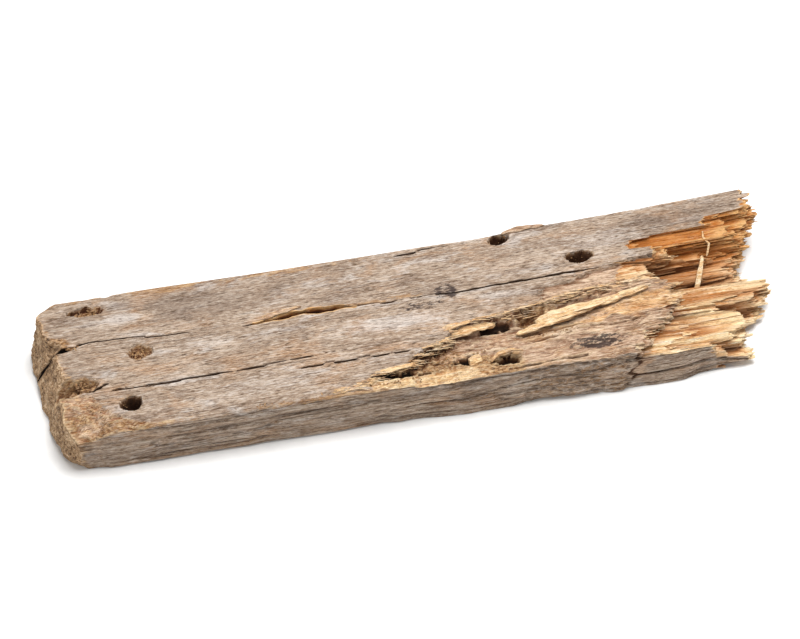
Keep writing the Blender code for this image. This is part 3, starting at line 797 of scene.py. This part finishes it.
def paint(mesh, x, y, z, deep, gap, torn, end_grain):
    """Stores the values that the wood material reads at each point."""
    aged, fresh, rot, warmth = wood_kinds(x, y, z, deep, torn)
    gap = painted_shade(x, y, z, deep, gap, torn)
    # Among these values, the dark of cracks, holes and pits, the recess and the two hollows are painted
    # shade; negative hollows are painted highlights.
    add_values(
        mesh, aged=aged, fresh=fresh, rot=rot, gap=gap, end_grain=end_grain, warmth=warmth,
        edge=worn_edges(x, y, z, deep, gap, end_grain), stain=stained(x, y, z), tone=skin_tone(x, y, z),
        near_side=fall(y, -45.5, 2) * fall(z, 37, 3), recess=torn * recess_at(x, y, z),
        fine_hollow=hollow_at(mesh, *FINE_HOLLOW), wide_hollow=hollow_at(mesh, *WIDE_HOLLOW),
    )


# The sound board

BODY_NET = (216, 142, 34)
BODY_SHARP = math.radians(38)
BODY_END_X = 104.0
SEAM_X = 100.0
SEAM_SINK = 1.2


def tucked(y, z, sink):
    """Draws the section in by a distance, so that one net's end hides inside the other."""
    return y * (1 - sink / (WIDTH / 2)), THICKNESS / 2 + (z - THICKNESS / 2) * (1 - sink / (THICKNESS / 2))


def body_rows(share):
    """Rows lie closer together at the sawn end and along the pocket."""
    places = (SAWN_END_X, -160, -70, BODY_END_X)
    shares = (0, 0.24, 0.42, 1)
    return np.interp(share, shares, places)


def sound_board(material):
    bm = netted_box(*BODY_NET)
    board = finish_piece("sound_board", bm, material)
    fx, fy, fz = read_points(board.data)
    column = WIDTH / BODY_NET[1]
    x, y, z, deep, gap = on_board(body_rows(fx), (fy - 0.5) * WIDTH, fz, fz > TOP_SHARE, column)
    back = 1 - rise(x, SAWN_END_X, END_WEAR_REACH)
    x = x + back * sawn_back(y, z)
    tuck = SEAM_SINK * ease((x - SEAM_X) / (BODY_END_X - SEAM_X))
    y, z = tucked(y, z, tuck)
    end = (fx < END_SHARE).astype(float)
    settle(board.data, x, y, most(z, 0))
    paint(board.data, x, y, z, deep, gap, np.zeros_like(x), end)
    board.data.set_sharp_from_angle(angle=BODY_SHARP)
    return board


# The snapped end

BREAK_NET = (56, 250, 92)
BREAK_SHARP = math.radians(35)
BREAK_START_X = 95.0


def snapped_end(material):
    bm = netted_box(*BREAK_NET)
    piece = finish_piece("snapped_end", bm, material)
    fx, fy, fz = read_points(piece.data)
    column = WIDTH / BREAK_NET[1]
    y0 = (fy - 0.5) * WIDTH
    z0 = fz * top_height(np.full_like(y0, SOUND_END_X + 1), y0)
    reach = break_reach(y0, z0)
    x = BREAK_START_X + (reach - BREAK_START_X) * fx
    x, y, z, deep, gap = on_board(x, y0, fz, fz > TOP_SHARE, column)
    past = rise(x, SOUND_END_X, 10)
    core = ease((WIDTH / 2 - abs(y)) / 2) * ease(z / 2)
    combed = abs(waves(91, y / 2.1, z / 3)) + 0.8 * abs(waves(92, y, z / 1.5))
    y = y + past * core * 0.6 * waves(93, y / 1.3, z / 1.1)
    z = z + past * core * (combed - 0.7)
    z = z - sag(x, y, z)
    sink = 0.4 * ease((SEAM_X - x) / (SEAM_X - BREAK_START_X))
    y, z = tucked(y, z, sink)
    torn = (fx > TOP_SHARE).astype(float)
    settle(piece.data, x, y, np.clip(z, 0.05, THICKNESS))
    paint(piece.data, x, y, z, deep, gap, torn, np.zeros_like(x))
    piece.data.set_sharp_from_angle(angle=BREAK_SHARP)
    return piece


# Small pieces: splinters and crumbs

TIP_LIMIT_X = 212.8
TOP_LIMIT = THICKNESS + 0.4
STRIP_WARMTH = -0.4
STRIP_NET = (48, 8, 5)
SPLINTER_COUNT = 520


def many_copies(template, count):
    """One bmesh with this many copies of a small shape."""
    pattern = bpy.data.meshes.new("pattern")
    template.to_mesh(pattern)
    template.free()
    bm = bmesh.new()
    for _ in range(count):
        bm.from_mesh(pattern)
    each = len(pattern.vertices)
    bpy.data.meshes.remove(pattern)
    return bm, each


def splinter_template():
    """A slim spike along x from 0 to 1, cut across so that it can bend."""
    bm = bmesh.new()
    bmesh.ops.create_cone(bm, cap_ends=True, segments=4, radius1=1, radius2=0.25, depth=1)
    bmesh.ops.rotate(bm, verts=bm.verts, matrix=Matrix.Rotation(math.radians(90), 3, "Y"))
    bmesh.ops.translate(bm, verts=bm.verts, vec=(0.5, 0, 0))
    along = [e for e in bm.edges if abs(e.verts[0].co.x - e.verts[1].co.x) > 0.5]
    bmesh.ops.subdivide_edges(bm, edges=along, cuts=3)
    return bm


def plain_values(mesh, count, each, **tones):
    """The values for small pieces: one tone each, and none of the board's places."""
    size = count * each
    values = dict.fromkeys(
        ("aged", "fresh", "rot", "gap", "edge", "end_grain", "near_side", "warmth", "tone", "stain", "recess",
         "fine_hollow", "wide_hollow"),
        np.zeros(size),
    )
    for name, numbers in tones.items():
        values[name] = np.repeat(numbers, each) if len(np.atleast_1d(numbers)) == count else numbers
    add_values(mesh, **values)


def splinters(name, roots, lengths, widths, tilts, turns, tones, warmths, material):
    """Many fine splinters from their roots; tilts and turns are how far the tips rise and swing."""
    count = len(lengths)
    bm, each = many_copies(splinter_template(), count)
    piece = finish_piece(name, bm, material)
    px, py, pz = read_points(piece.data)
    spread = [np.repeat(np.asarray(v, float), each) for v in (*roots, lengths, widths, tilts, turns)]
    root_x, root_y, root_z, length, width, tilt, turn = spread
    along = px * length
    number = np.repeat(np.arange(count), each)
    curl = px**2
    x = root_x + along
    y = root_y + py * width * (0.6 + 0.8 * dice(number, 1)) + turn * length * curl
    z = root_z + pz * width * (0.35 + 0.4 * dice(number, 2)) + tilt * length * curl
    settle(piece.data, np.minimum(x, TIP_LIMIT_X), y, np.clip(z, 0.1, TOP_LIMIT))
    # Painted highlight along each splinter, growing towards its tip, through a negative fine hollow.
    plain_values(
        piece.data, count, each, fresh=tones, aged=1 - tones, warmth=warmths, fine_hollow=-0.6 * px,
    )
    return piece


def break_splinters(material):
    """Broken fibre ends that stand out of the snapped end."""
    count = SPLINTER_COUNT
    number = np.arange(count)
    y = (dice(number, 3) - 0.5) * 97
    z = 0.8 + dice(number, 4) * 36
    z = np.minimum(z, top_height(np.full_like(y, SOUND_END_X + 1), y) - 0.6)
    reach = break_reach(y, z)
    length = 4 + 8 * dice(number, 5) ** 3
    width = 0.25 + 0.7 * dice(number, 6) ** 2
    start = reach - length * (0.5 + 0.35 * dice(number, 7))
    lowered = z - sag(reach, y, z)
    tilt = 0.22 * (dice(number, 8) - 0.4)
    turn = 0.24 * (dice(number, 9) - 0.5)
    tones = 0.55 + 0.45 * dice(number, 10)
    roots = (start, y, lowered)
    return splinters("break_splinters", roots, length, width, tilt, turn, tones, honey_share(y), material)


def rim_fibres(material):
    """Loose fibres along the torn edges of the skin round the pocket and the step."""
    count = SPLINTER_COUNT
    number = np.arange(count)
    x = -66 + 190 * dice(number, 11)
    edge = np.interp(x, POCKET_X, POCKET_SKIN_Y)
    y = edge + 3.2 * (dice(number, 12) - 0.55)
    z = top_height(x, y) + 0.1
    length = 3 + 8 * dice(number, 13) ** 2
    width = 0.18 + 0.3 * dice(number, 14)
    tilt = 0.16 * (dice(number, 15) - 0.6)
    turn = 0.5 * (dice(number, 16) - 0.5)
    tones = 0.25 + 0.6 * dice(number, 17)
    warmth = np.full(count, STRIP_WARMTH)
    return splinters("rim_fibres", (x, y, z), length, width, tilt, turn, tones, warmth, material)


# Where crumbs lie: place, half sizes, how many, size of a crumb, and a height if not on the surface
CRUMB_BEDS = (
    (-171, 4.6, 6.6, 5, 120, 1.2),
    (-199, 39.5, 11, 3.6, 90, 1.1),
    (-185, -30, 3, 3, 12, 1),
    (97, 23, 8, 4.6, 44, 0.9),
    (53, 46, 6, 3.2, 24, 0.8),
    (-2, -30, 16, 8, 130, 1.3),
    (45, -10.6, 2.4, 0.8, 4, 3.4, 32),
    (26, -31, 6, 4, 24, 1.3),
    (58, -10, 8, 4, 40, 1.1),
    (74, -22, 22, 3, 50, 0.9),
    (-30, -42, 22, 4, 50, 0.9),
    (-90, -45.6, 36, 1.4, 60, 0.8, 36.5),
    (-207, -13.5, 7, 5, 60, 1.9),
    (-205, -34, 14, 8, 24, 0.9),
    (-208, 15, 4, 2, 34, 1.5, 36.4),
    (-42, 14.4, 6, 1.8, 30, 0.8),
)


def crumb_spots():
    """Places in the beds, below the skin unless a height is given, and the size of the crumb at each."""
    found = []
    for number, (bed_x, bed_y, half_x, half_y, wanted, size, *height) in enumerate(CRUMB_BEDS):
        tries = np.arange(wanted * 3)
        angle, far = 2 * math.pi * dice(tries, number, seed=22), np.sqrt(dice(tries, number, seed=23))
        x = bed_x + half_x * far * np.cos(angle)
        y = bed_y + half_y * far * np.sin(angle)
        top = top_height(x, y)
        kept = (weathered_skin(x, y) - top > 1.2) | bool(height)
        z = height[0] + dice(tries, number, seed=28) - 0.5 if height else top
        spots = np.stack(np.broadcast_arrays(x, y, z, np.full_like(x, size)))
        found.append(spots[:, kept][:, :wanted])
    return np.concatenate(found, axis=1)


def crumbs(material):
    """Crumbled rot lying in the holes, the pits and the pocket."""
    spots = crumb_spots()
    count = spots.shape[1]
    template = bmesh.new()
    bmesh.ops.create_icosphere(template, subdivisions=1, radius=1)
    bm, each = many_copies(template, count)
    piece = finish_piece("rot_crumbs", bm, material)
    px, py, pz = read_points(piece.data)
    number = np.arange(count)
    x, y, z, size = spots
    size = size * (0.3 + 0.7 * dice(number, 21) ** 2)
    z = z + 0.1 * size
    spread = [np.repeat(v, each) for v in (x, y, z, size, dice(number, 24), 6.3 * dice(number, 25))]
    x, y, z, size, flat, turned = spread
    lumpy = size * (0.65 + 0.7 * dice(np.arange(count * each), 26))
    long_way, short_way = px * (0.9 + flat), py * 0.7
    out_x = x + lumpy * (long_way * np.cos(turned) - short_way * np.sin(turned))
    out_y = y + lumpy * (long_way * np.sin(turned) + short_way * np.cos(turned))
    settle(piece.data, out_x, out_y, np.minimum(z + lumpy * pz * 0.6, TOP_LIMIT))
    tones = dice(number, 27)
    plain_values(piece.data, count, each, aged=np.ones(count), fresh=0.35 * tones, rot=1 - 0.3 * tones)
    return piece


# Larger loose splinters: name, thickest, how fresh the wood is, path (x, y, z, width)
LOOSE_STRIPS = (
    ("rim_flake", 1.2, 0.6,
     ((-0.5, -14.2, 36.8, 0.8), (7, -13.2, 37.6, 2.8), (14, -12, 37.8, 2.8), (24, -10.6, 37.4, 1.2))),
    ("pocket_plank", 2.6, 0.8,
     ((9, -15.8, 32.6, 3), (19, -14.2, 33.8, 5), (29, -12.9, 33.4, 4.6), (38, -12.2, 32, 2))),
    ("pocket_lip", 2, 0.75,
     ((49, -19.6, 29.4, 2.4), (63, -17.8, 30.6, 3.2), (79, -15.4, 31.4, 2.8), (95, -12.6, 32.2, 1.4))),
    ("pale_chunk", 4.5, 0.7,
     ((17, -36, 31.6, 4.6), (21, -35.6, 32.4, 6), (25, -35, 32.2, 4.4))),
    ("pit_arch", 1.4, 0.5,
     ((30, -37.5, 31.6, 1.4), (35, -34.2, 33.4, 1.8), (43, -33.2, 34, 1.8), (50, -34.4, 33, 1.3))),
    ("slot_lip", 1.4, 0.7,
     ((-41, -37.2, 36.8, 1.2), (-33, -36.4, 37.7, 2.4), (-24, -35.6, 37.9, 2.6), (-15, -34.6, 37.4, 1.4))),
    ("far_chip", 1.6, 0.2,
     ((55, 49.4, 37.4, 1.2), (63, 50.2, 38, 2.8), (72, 50.6, 37.8, 2.6), (82, 50, 37.2, 1))),
    ("pocket_strand", 3, 1,
     ((62, -13.4, 30, 4.2), (74, -12.8, 31.6, 5.4), (90, -11.2, 33, 4.8), (106, -9.6, 33.6, 4),
      (120, -7, 33.6, 3), (133, -4.4, 33.2, 1.6))),
    ("slot_flake", 1.1, 0.35,
     ((-103, 14.2, 37, 1.6), (-94, 16, 37.8, 2.6), (-84, 17.8, 38.1, 2.4), (-72, 19.6, 37.9, 1.2))),
    ("straw_fibre", 0.9, 0.95,
     ((172, 17, 24.6, 1.8), (169.3, 10, 22, 2.3), (166, 2.5, 18.5, 2.4), (160.9, -8.1, 12.5, 2.2))),
    ("curled_fibre", 0.7, 0.8,
     ((174.4, 28, 34, 0.8), (173.6, 24, 33.5, 1.1), (176.6, 20, 31, 1), (174.2, 14.8, 26, 0.9))),
)


def loose_strip(name, thickest, fresh, path, material):
    """A split-off strip of wood along a path, thinning to both ends."""
    bm = netted_box(*STRIP_NET)
    strip = finish_piece(name, bm, material)
    fx, fy, fz = read_points(strip.data)
    points = np.array(path, float).T
    far = np.concatenate(([0], np.cumsum(np.linalg.norm(np.diff(points[:3], axis=1), axis=0))))
    total = far[-1]
    far = far / total
    x, y, z, width = (np.interp(fx, far, p) for p in points)
    ahead_x, ahead_y = (np.interp(fx, far, np.gradient(p)) for p in points[:2])
    size = most(np.hypot(ahead_x, ahead_y), 1e-6)
    ragged = 0.12 * (waves(110, fy * 5) + waves(113, fy * 11, fz * 3))
    shape = ease(fx / 0.06 + 0.2 + 2 * ragged) * ease((1 - fx) / 0.12 + 0.2 + 2 * ragged)
    along = fx * total
    rough = 1 + 0.45 * waves(111, along / 5.5, fy * 2, fz * 2)
    out = (fy - 0.5) * width * shape * rough
    up = (fz - 0.5) * thickest * shape * rough * (1 - 1.4 * (fy - 0.5) ** 2)
    ridge = (0.5 * waves(112, fy * width / 1.1, along / 14, fz * 2) - 0.3 * ragged) * shape
    settle(strip.data, x - out * ahead_y / size, y + out * ahead_x / size, z + up + ridge)
    count = len(fx)
    plain_values(
        strip.data, count, 1, fresh=np.full(count, fresh), aged=np.ones(count),
        warmth=np.full(count, STRIP_WARMTH), fine_hollow=hollow_at(strip.data, *STRIP_HOLLOW),
        # Painted shade on the strip's underside.
        recess=0.8 * (fz < 0.1),
    )
    return strip


# Materials

WOOD_ROUGHNESS = 0.9
WOOD_SHINE = 0.2
WOOD_RELIEF = 0.0013
PAPER_ROUGHNESS = 0.92


def add_node(tree, kind, settings=None, links=None):
    """Adds a node, sets its properties and inputs, and links outputs of other nodes to its inputs."""
    node = tree.nodes.new(kind)
    for name, value in (settings or {}).items():
        if name in node.inputs:
            node.inputs[name].default_value = value
        else:
            setattr(node, name, value)
    for name, output in (links or {}).items():
        tree.links.new(output, node.inputs[name])
    return node


def colour_ramp(value, *stops):
    """The colour that a value gives between stops: (place, hex colour)."""
    node = add_node(value.id_data, "ShaderNodeValToRGB", None, {"Fac": value})
    ramp = node.color_ramp
    while len(ramp.elements) > 1:
        ramp.elements.remove(ramp.elements[-1])
    ramp.elements[0].position, ramp.elements[0].color = stops[0][0], hex_colour(stops[0][1])
    for place, code in stops[1:]:
        ramp.elements.new(place).color = hex_colour(code)
    return node.outputs["Color"]


def streaks(place, sizes, detail=3, rough=0.6, warp=0):
    """Noise drawn out along the grain, its sizes along, across and up in millimetres."""
    scale = [1000 / size for size in sizes]
    moved = add_node(place.id_data, "ShaderNodeMapping", {"Scale": scale}, {"Vector": place})
    return add_node(
        place.id_data, "ShaderNodeTexNoise",
        {"Scale": 1, "Detail": detail, "Roughness": rough, "Distortion": warp},
        {"Vector": moved.outputs["Vector"]},
    ).outputs["Fac"]


def mix(share, first, second, how="MIX"):
    """Mixes two colours by a share; a colour may be a socket or a hex code."""
    settings = {"data_type": "RGBA", "blend_type": how}
    node = add_node(share.id_data, "ShaderNodeMix", settings, {"Factor": share})
    colour_inputs = [s for s in node.inputs if s.type == "RGBA"]
    for socket, value in zip(colour_inputs, (first, second)):
        if isinstance(value, str):
            socket.default_value = hex_colour(value)
        else:
            share.id_data.links.new(value, socket)
    return [s for s in node.outputs if s.type == "RGBA"][0]


def sum_up(operation, first, *others):
    """One Math node; the first input is a socket, each other one a socket or a number."""
    node = add_node(first.id_data, "ShaderNodeMath", {"operation": operation})
    for socket, value in zip(node.inputs, (first, *others)):
        if isinstance(value, (int, float)):
            socket.default_value = value
        else:
            first.id_data.links.new(value, socket)
    return node.outputs["Value"]


def times(first, second):
    return sum_up("MULTIPLY", first, second)


def between(value, low, high, top=1, bottom=0):
    """Maps a value's range from low to high onto one from bottom to top, clamped."""
    return add_node(
        value.id_data, "ShaderNodeMapRange",
        {"From Min": low, "From Max": high, "To Min": bottom, "To Max": top},
        {"Value": value},
    ).outputs["Result"]


def tinted(colour, *layers):
    """Lays tints over a colour, each by a value's place in a range: (value, low, high, strength, tint)."""
    for value, low, high, strength, *tint in layers:
        colour = mix(between(value, low, high, strength), colour, *tint)
    return colour


def stored(place, name):
    """A value stored at the mesh's points."""
    return add_node(place.id_data, "ShaderNodeAttribute", {"attribute_name": name}).outputs["Fac"]


def ragged_share(value, noise, amount, low, high):
    """A stored value broken up by noise, so that its border is ragged; 0 where the value is 0."""
    broken = sum_up("MULTIPLY_ADD", sum_up("SUBTRACT", noise, 0.5), amount, value)
    return times(between(broken, low, high), between(value, 0.02, 0.15))


def new_material(name, roughness):
    """A material, its shader and the object coordinates that its noise reads."""
    material = bpy.data.materials.new(name)
    material.use_nodes = True
    shader = material.node_tree.nodes["Principled BSDF"]
    shader.inputs["Roughness"].default_value = roughness
    return material, shader, add_node(material.node_tree, "ShaderNodeTexCoord").outputs["Object"]


def silvered_colour(place, grain, fine):
    """Sun-bleached skin: beige-grey, mottled, with silver and tan patches and dark grain lines."""
    mottle = streaks(place, (34, 11, 11), 5, 0.62, 0.5)
    patch = streaks(place, (46, 17, 17), 4, 0.6, 0.8)
    silver = streaks(place, (30, 8, 8), 4, 0.7, 0.6)
    lines = streaks(place, (60, 1.3, 1.3), 3, 0.6, 0.3)
    return tinted(
        colour_ramp(mottle, (0.30, "#826C5C"), (0.43, "#9F8874"), (0.55, "#B19A85"), (0.70, "#C4AF9C")),
        (patch, 0.50, 0.66, 0.6, "#BC9068"),
        (silver, 0.54, 0.68, 0.7, "#D4CBC4"),
        (lines, 0.43, 0.30, 0.75, "#57412F"),
        (fine, 0.54, 0.68, 0.5, "#E6DACD"),
        (fine, 0.46, 0.33, 0.6, "#644C3A"),
        (grain, 0.54, 0.70, 0.55, "#E0D3C5"),
        (grain, 0.47, 0.34, 0.85, "#554130"),
    )


def aged_tear_colour(place, grain, fine):
    """Old tears: pale tan wood, pinkish in patches, with brown streaks."""
    mottle = streaks(place, (22, 4, 4), 4, 0.65, 0.4)
    patch = streaks(place, (18, 9, 9), 4, 0.65, 0.6)
    return tinted(
        colour_ramp(mottle, (0.34, "#8A6A50"), (0.46, "#B59277"), (0.56, "#CBAC91"), (0.68, "#DCC3A6")),
        (patch, 0.50, 0.66, 0.6, "#C48F5D"),
        (fine, 0.54, 0.68, 0.6, "#EBD8BE"),
        (fine, 0.46, 0.32, 0.75, "#77553B"),
        (grain, 0.56, 0.72, 0.5, "#E6D0B4"),
        (grain, 0.47, 0.33, 0.85, "#60412B"),
    )


def fresh_tear_colour(place, grain, fine):
    """Fresh tears: cream fibres towards the near side, honey and orange ones towards the far side."""
    wide = streaks(place, (28, 1.5, 1.5), 4, 0.7)
    patch = streaks(place, (30, 6, 5), 3, 0.6, 0.3)
    warmth = between(stored(place, "warmth"), -1, 1)
    cream = colour_ramp(wide, (0.32, "#DCA264"), (0.42, "#F6D098"), (0.52, "#FDE2AE"), (0.62, "#FFF4DA"))
    honey = colour_ramp(wide, (0.32, "#5A2F12"), (0.42, "#A05C28"), (0.52, "#C68240"), (0.62, "#E8B474"))
    return tinted(
        mix(warmth, cream, honey),
        (patch, 0.46, 0.66, 0.4, "#CB8A48"),
        (fine, 0.54, 0.66, 0.65, mix(warmth, "#FFF3D8", "#EDC080")),
        (fine, 0.46, 0.33, 0.6, "#A86028"),
        (grain, 0.46, 0.34, 0.5, "#86491C"),
    )


def rotten_colour(place):
    """Crumbled brown rot, speckled dark and tan."""
    speckle = streaks(place, (2.4, 1.5, 1.5), 4, 0.7)
    return colour_ramp(speckle, (0.34, "#4E3421"), (0.44, "#8A6340"), (0.54, "#AF875C"), (0.66, "#CBA67A"))


def end_grain_colour(place):
    """Old saw cut: crumbling end grain, brown with tan specks and dark pores."""
    speckle = streaks(place, (4, 1.5, 1.5), 4, 0.75)
    mottle = streaks(place, (30, 6, 8), 3, 0.6)
    both = sum_up("ADD", times(speckle, 0.7), times(mottle, 0.3))
    return colour_ramp(both, (0.37, "#402B1D"), (0.45, "#9B7855"), (0.53, "#CCA67E"), (0.62, "#F0D6B2"))


def aged_edge_colour(place):
    """Worn edges: orange-tan wood under the grey skin."""
    mottle = streaks(place, (14, 2.5, 2.5), 4, 0.7)
    return colour_ramp(mottle, (0.36, "#6A4830"), (0.46, "#A07850"), (0.56, "#BE9466"), (0.66, "#D8B98E"))


def skin_colour(place, grain, fine, speck):
    """The silvered skin with its pale and dark patches, brown and furrowed at the side, worn at the edges."""
    tone, side = stored(place, "tone"), stored(place, "near_side")
    colour = silvered_colour(place, grain, fine)
    colour = mix(ragged_share(tone, grain, 1.6, 0.2, 1.3), colour, "#DAD3CE")
    colour = tinted(colour, (tone, 0, -1, 0.55, "#77665A"))
    furrows = streaks(place, (34, 8, 1.7), 4, 0.6, 0.4)
    side_tints = (
        (furrows, 0.50, 0.36, 0.75, "#4C3D31"),
        (furrows, 0.54, 0.68, 0.5, "#C6B8A8"),
        (speck, 0.50, 0.66, 0.45, "#86684C"),
    )
    for noise, low, high, strength, tint in side_tints:
        colour = mix(times(side, between(noise, low, high, strength)), colour, tint)
    edge = ragged_share(stored(place, "edge"), speck, 2.2, 0.35, 0.75)
    return mix(times(edge, 0.75), colour, aged_edge_colour(place))


def shaded_hollows(place, colour):
    """Paints shade into crevices between fibres, paints highlights on the fibres' crests and paints brown and
    dark shade deep in the break.
    """
    fine_hollow, wide_hollow = stored(place, "fine_hollow"), stored(place, "wide_hollow")
    fresh, aged = stored(place, "fresh"), stored(place, "aged")
    # Painted shade: the crevice colour is laid where the surface lies below its smoothed self.
    crevice = mix(sum_up("MAXIMUM", fresh, aged), "#54463B", mix(fresh, "#80563A", "#A45E22"))
    # Less painted shade on fresh wood.
    lit = between(fresh, 0, 1, 0.55, 1)
    for hollow in (between(fine_hollow, 0.08, 0.8, 0.7), between(wide_hollow, 0.15, 1, 0.45)):
        colour = mix(times(hollow, lit), colour, crevice)
    # Painted highlight: a pale colour is laid on crests that stand above the smoothed surface.
    crested = sum_up("MAXIMUM", fresh, times(aged, 0.5))
    honey = between(stored(place, "warmth"), 0, 1)
    crest = times(between(fine_hollow, -0.12, -0.7, 0.5), crested)
    colour = mix(crest, colour, mix(honey, "#F8E2B8", "#F0C88C"))
    # Painted shade deep in the break: orange-brown, then dark brown, where longer fibres or the skin block
    # most directions.
    recess = stored(place, "recess")
    return tinted(colour, (recess, 0.12, 0.42, 0.6, "#B86C2A"), (recess, 0.42, 0.8, 0.85, "#4F260F"))


def weathered_softwood():
    """Softwood left outdoors: grey-brown and rough on its skin, honey-coloured where it has torn."""
    material, shader, place = new_material("weathered_softwood", WOOD_ROUGHNESS)
    grain = streaks(place, (5.5, 1.1, 1.1), 4, 0.72)
    fine = streaks(place, (13, 0.6, 0.6), 3, 0.65)
    hair = streaks(place, (3, 0.5, 0.5), 3, 0.7)
    speck = streaks(place, (5, 2, 2), 4, 0.75)
    colour = skin_colour(place, grain, fine, speck)
    layers = (
        ("aged", 1.2, 0.25, 0.6, aged_tear_colour(place, grain, fine)),
        ("fresh", 1.4, 0.30, 0.62, fresh_tear_colour(place, grain, fine)),
        ("rot", 1.6, 0.35, 0.8, rotten_colour(place)),
    )
    for name, amount, low, high, wood in layers:
        colour = mix(ragged_share(stored(place, name), speck, amount, low, high), colour, wood)
    colour = mix(stored(place, "end_grain"), colour, end_grain_colour(place))
    dark_hair, pale_hair = (hair, 0.50, 0.34, 0.6, "#8C7868", "MULTIPLY"), (hair, 0.54, 0.70, 0.3, "#FFF2E2")
    colour = shaded_hollows(place, tinted(colour, dark_hair, pale_hair))
    stain = ragged_share(stored(place, "stain"), speck, 3.4, 0.58, 0.95)
    colour = mix(times(stain, 0.9), colour, "#382D2C")
    # Painted shade: darker the deeper a crack, hole or pit lies, near black at the deepest.
    gap = stored(place, "gap")
    colour = tinted(colour, (gap, 0.1, 1, 0.9, "#84644E", "MULTIPLY"), (gap, 0.9, 2.6, 1, "#1C120B"))

    relief = sum_up("MULTIPLY_ADD", hair, 0.5, grain)
    relief = sum_up("MULTIPLY_ADD", times(stored(place, "rot"), speck), 1.2, relief)
    tree = material.node_tree
    bump = add_node(tree, "ShaderNodeBump", {"Strength": 1, "Distance": WOOD_RELIEF}, {"Height": relief})
    tree.links.new(colour, shader.inputs["Base Color"])
    tree.links.new(bump.outputs["Normal"], shader.inputs["Normal"])
    shader.inputs["Specular IOR Level"].default_value = WOOD_SHINE
    return material


def background_paper():
    """Matt white background paper, with the faint mottle that paper has."""
    material, shader, place = new_material("white_background_paper", PAPER_ROUGHNESS)
    fibre = streaks(place, (9, 9, 9), 3, 0.6)
    colour = colour_ramp(fibre, (0.3, "#EDEDEC"), (0.7, "#F2F2F1"))
    material.node_tree.links.new(colour, shader.inputs["Base Color"])
    return material


# Camera, floor and light

AZIMUTH = math.radians(-11.67)
ELEVATION = math.radians(53.1)
MM_PER_PIXEL = 0.596
IMAGE_WIDTH = 800
AIM_RIGHT_PX = -27.5
AIM_UP_PX = 31.9
CAMERA_DISTANCE = 2.4
SENSOR_MM = 36.0
FLOOR_HALF = 4.0
FLOOR_DROP = 0.0002
SKY_STRENGTH = 0.5
SOFTBOX_PLACE = (0.2, 0.12, 1.6)
SOFTBOX_SIZE = 1.0
SOFTBOX_WATTS = 36.5


def photo_camera():
    """A long lens from above the near edge, as in the photo."""
    right = Vector((math.cos(AZIMUTH), math.sin(AZIMUTH), 0))
    up = Vector((
        -math.sin(AZIMUTH) * math.sin(ELEVATION),
        math.cos(AZIMUTH) * math.sin(ELEVATION),
        math.cos(ELEVATION),
    ))
    back = right.cross(up)
    aim = (right * AIM_RIGHT_PX + up * AIM_UP_PX) * MM_PER_PIXEL * MM
    data = bpy.data.cameras.new("photo_camera")
    data.sensor_width = SENSOR_MM
    data.lens = SENSOR_MM * CAMERA_DISTANCE / (IMAGE_WIDTH * MM_PER_PIXEL * MM)
    data.dof.use_dof = False
    camera = placed("photo_camera", data)
    turned = Matrix((right, up, back)).transposed().to_4x4()
    camera.matrix_world = Matrix.Translation(aim + back * CAMERA_DISTANCE) @ turned
    bpy.context.scene.camera = camera


def softbox():
    """One large soft lamp overhead, aimed at the board."""
    data = bpy.data.lights.new("overhead_softbox", "AREA")
    data.shape = "DISK"
    data.size = SOFTBOX_SIZE
    data.energy = SOFTBOX_WATTS
    light = placed("overhead_softbox", data)
    light.location = SOFTBOX_PLACE
    light.rotation_euler = (-Vector(SOFTBOX_PLACE)).to_track_quat("-Z", "Y").to_euler()


def studio(floor_material):
    """White paper under the board, an even white sky and the softbox."""
    bm = bmesh.new()
    bmesh.ops.create_grid(bm, x_segments=1, y_segments=1, size=FLOOR_HALF)
    bmesh.ops.translate(bm, vec=(0, 0, -FLOOR_DROP), verts=bm.verts)
    floor = object_from("floor", bm, floor_material)
    world = bpy.data.worlds.new("studio")
    bpy.context.scene.world = world
    world.use_nodes = True
    sky = world.node_tree.nodes["Background"]
    sky.inputs["Color"].default_value = (1, 1, 1, 1)
    sky.inputs["Strength"].default_value = SKY_STRENGTH
    softbox()
    bpy.context.scene.view_settings.view_transform = "Standard"


def main():
    wood = weathered_softwood()
    sound_board(wood)
    snapped_end(wood)
    break_splinters(wood)
    rim_fibres(wood)
    crumbs(wood)
    for strip in LOOSE_STRIPS:
        loose_strip(*strip, wood)
    photo_camera()
    studio(background_paper())


main()
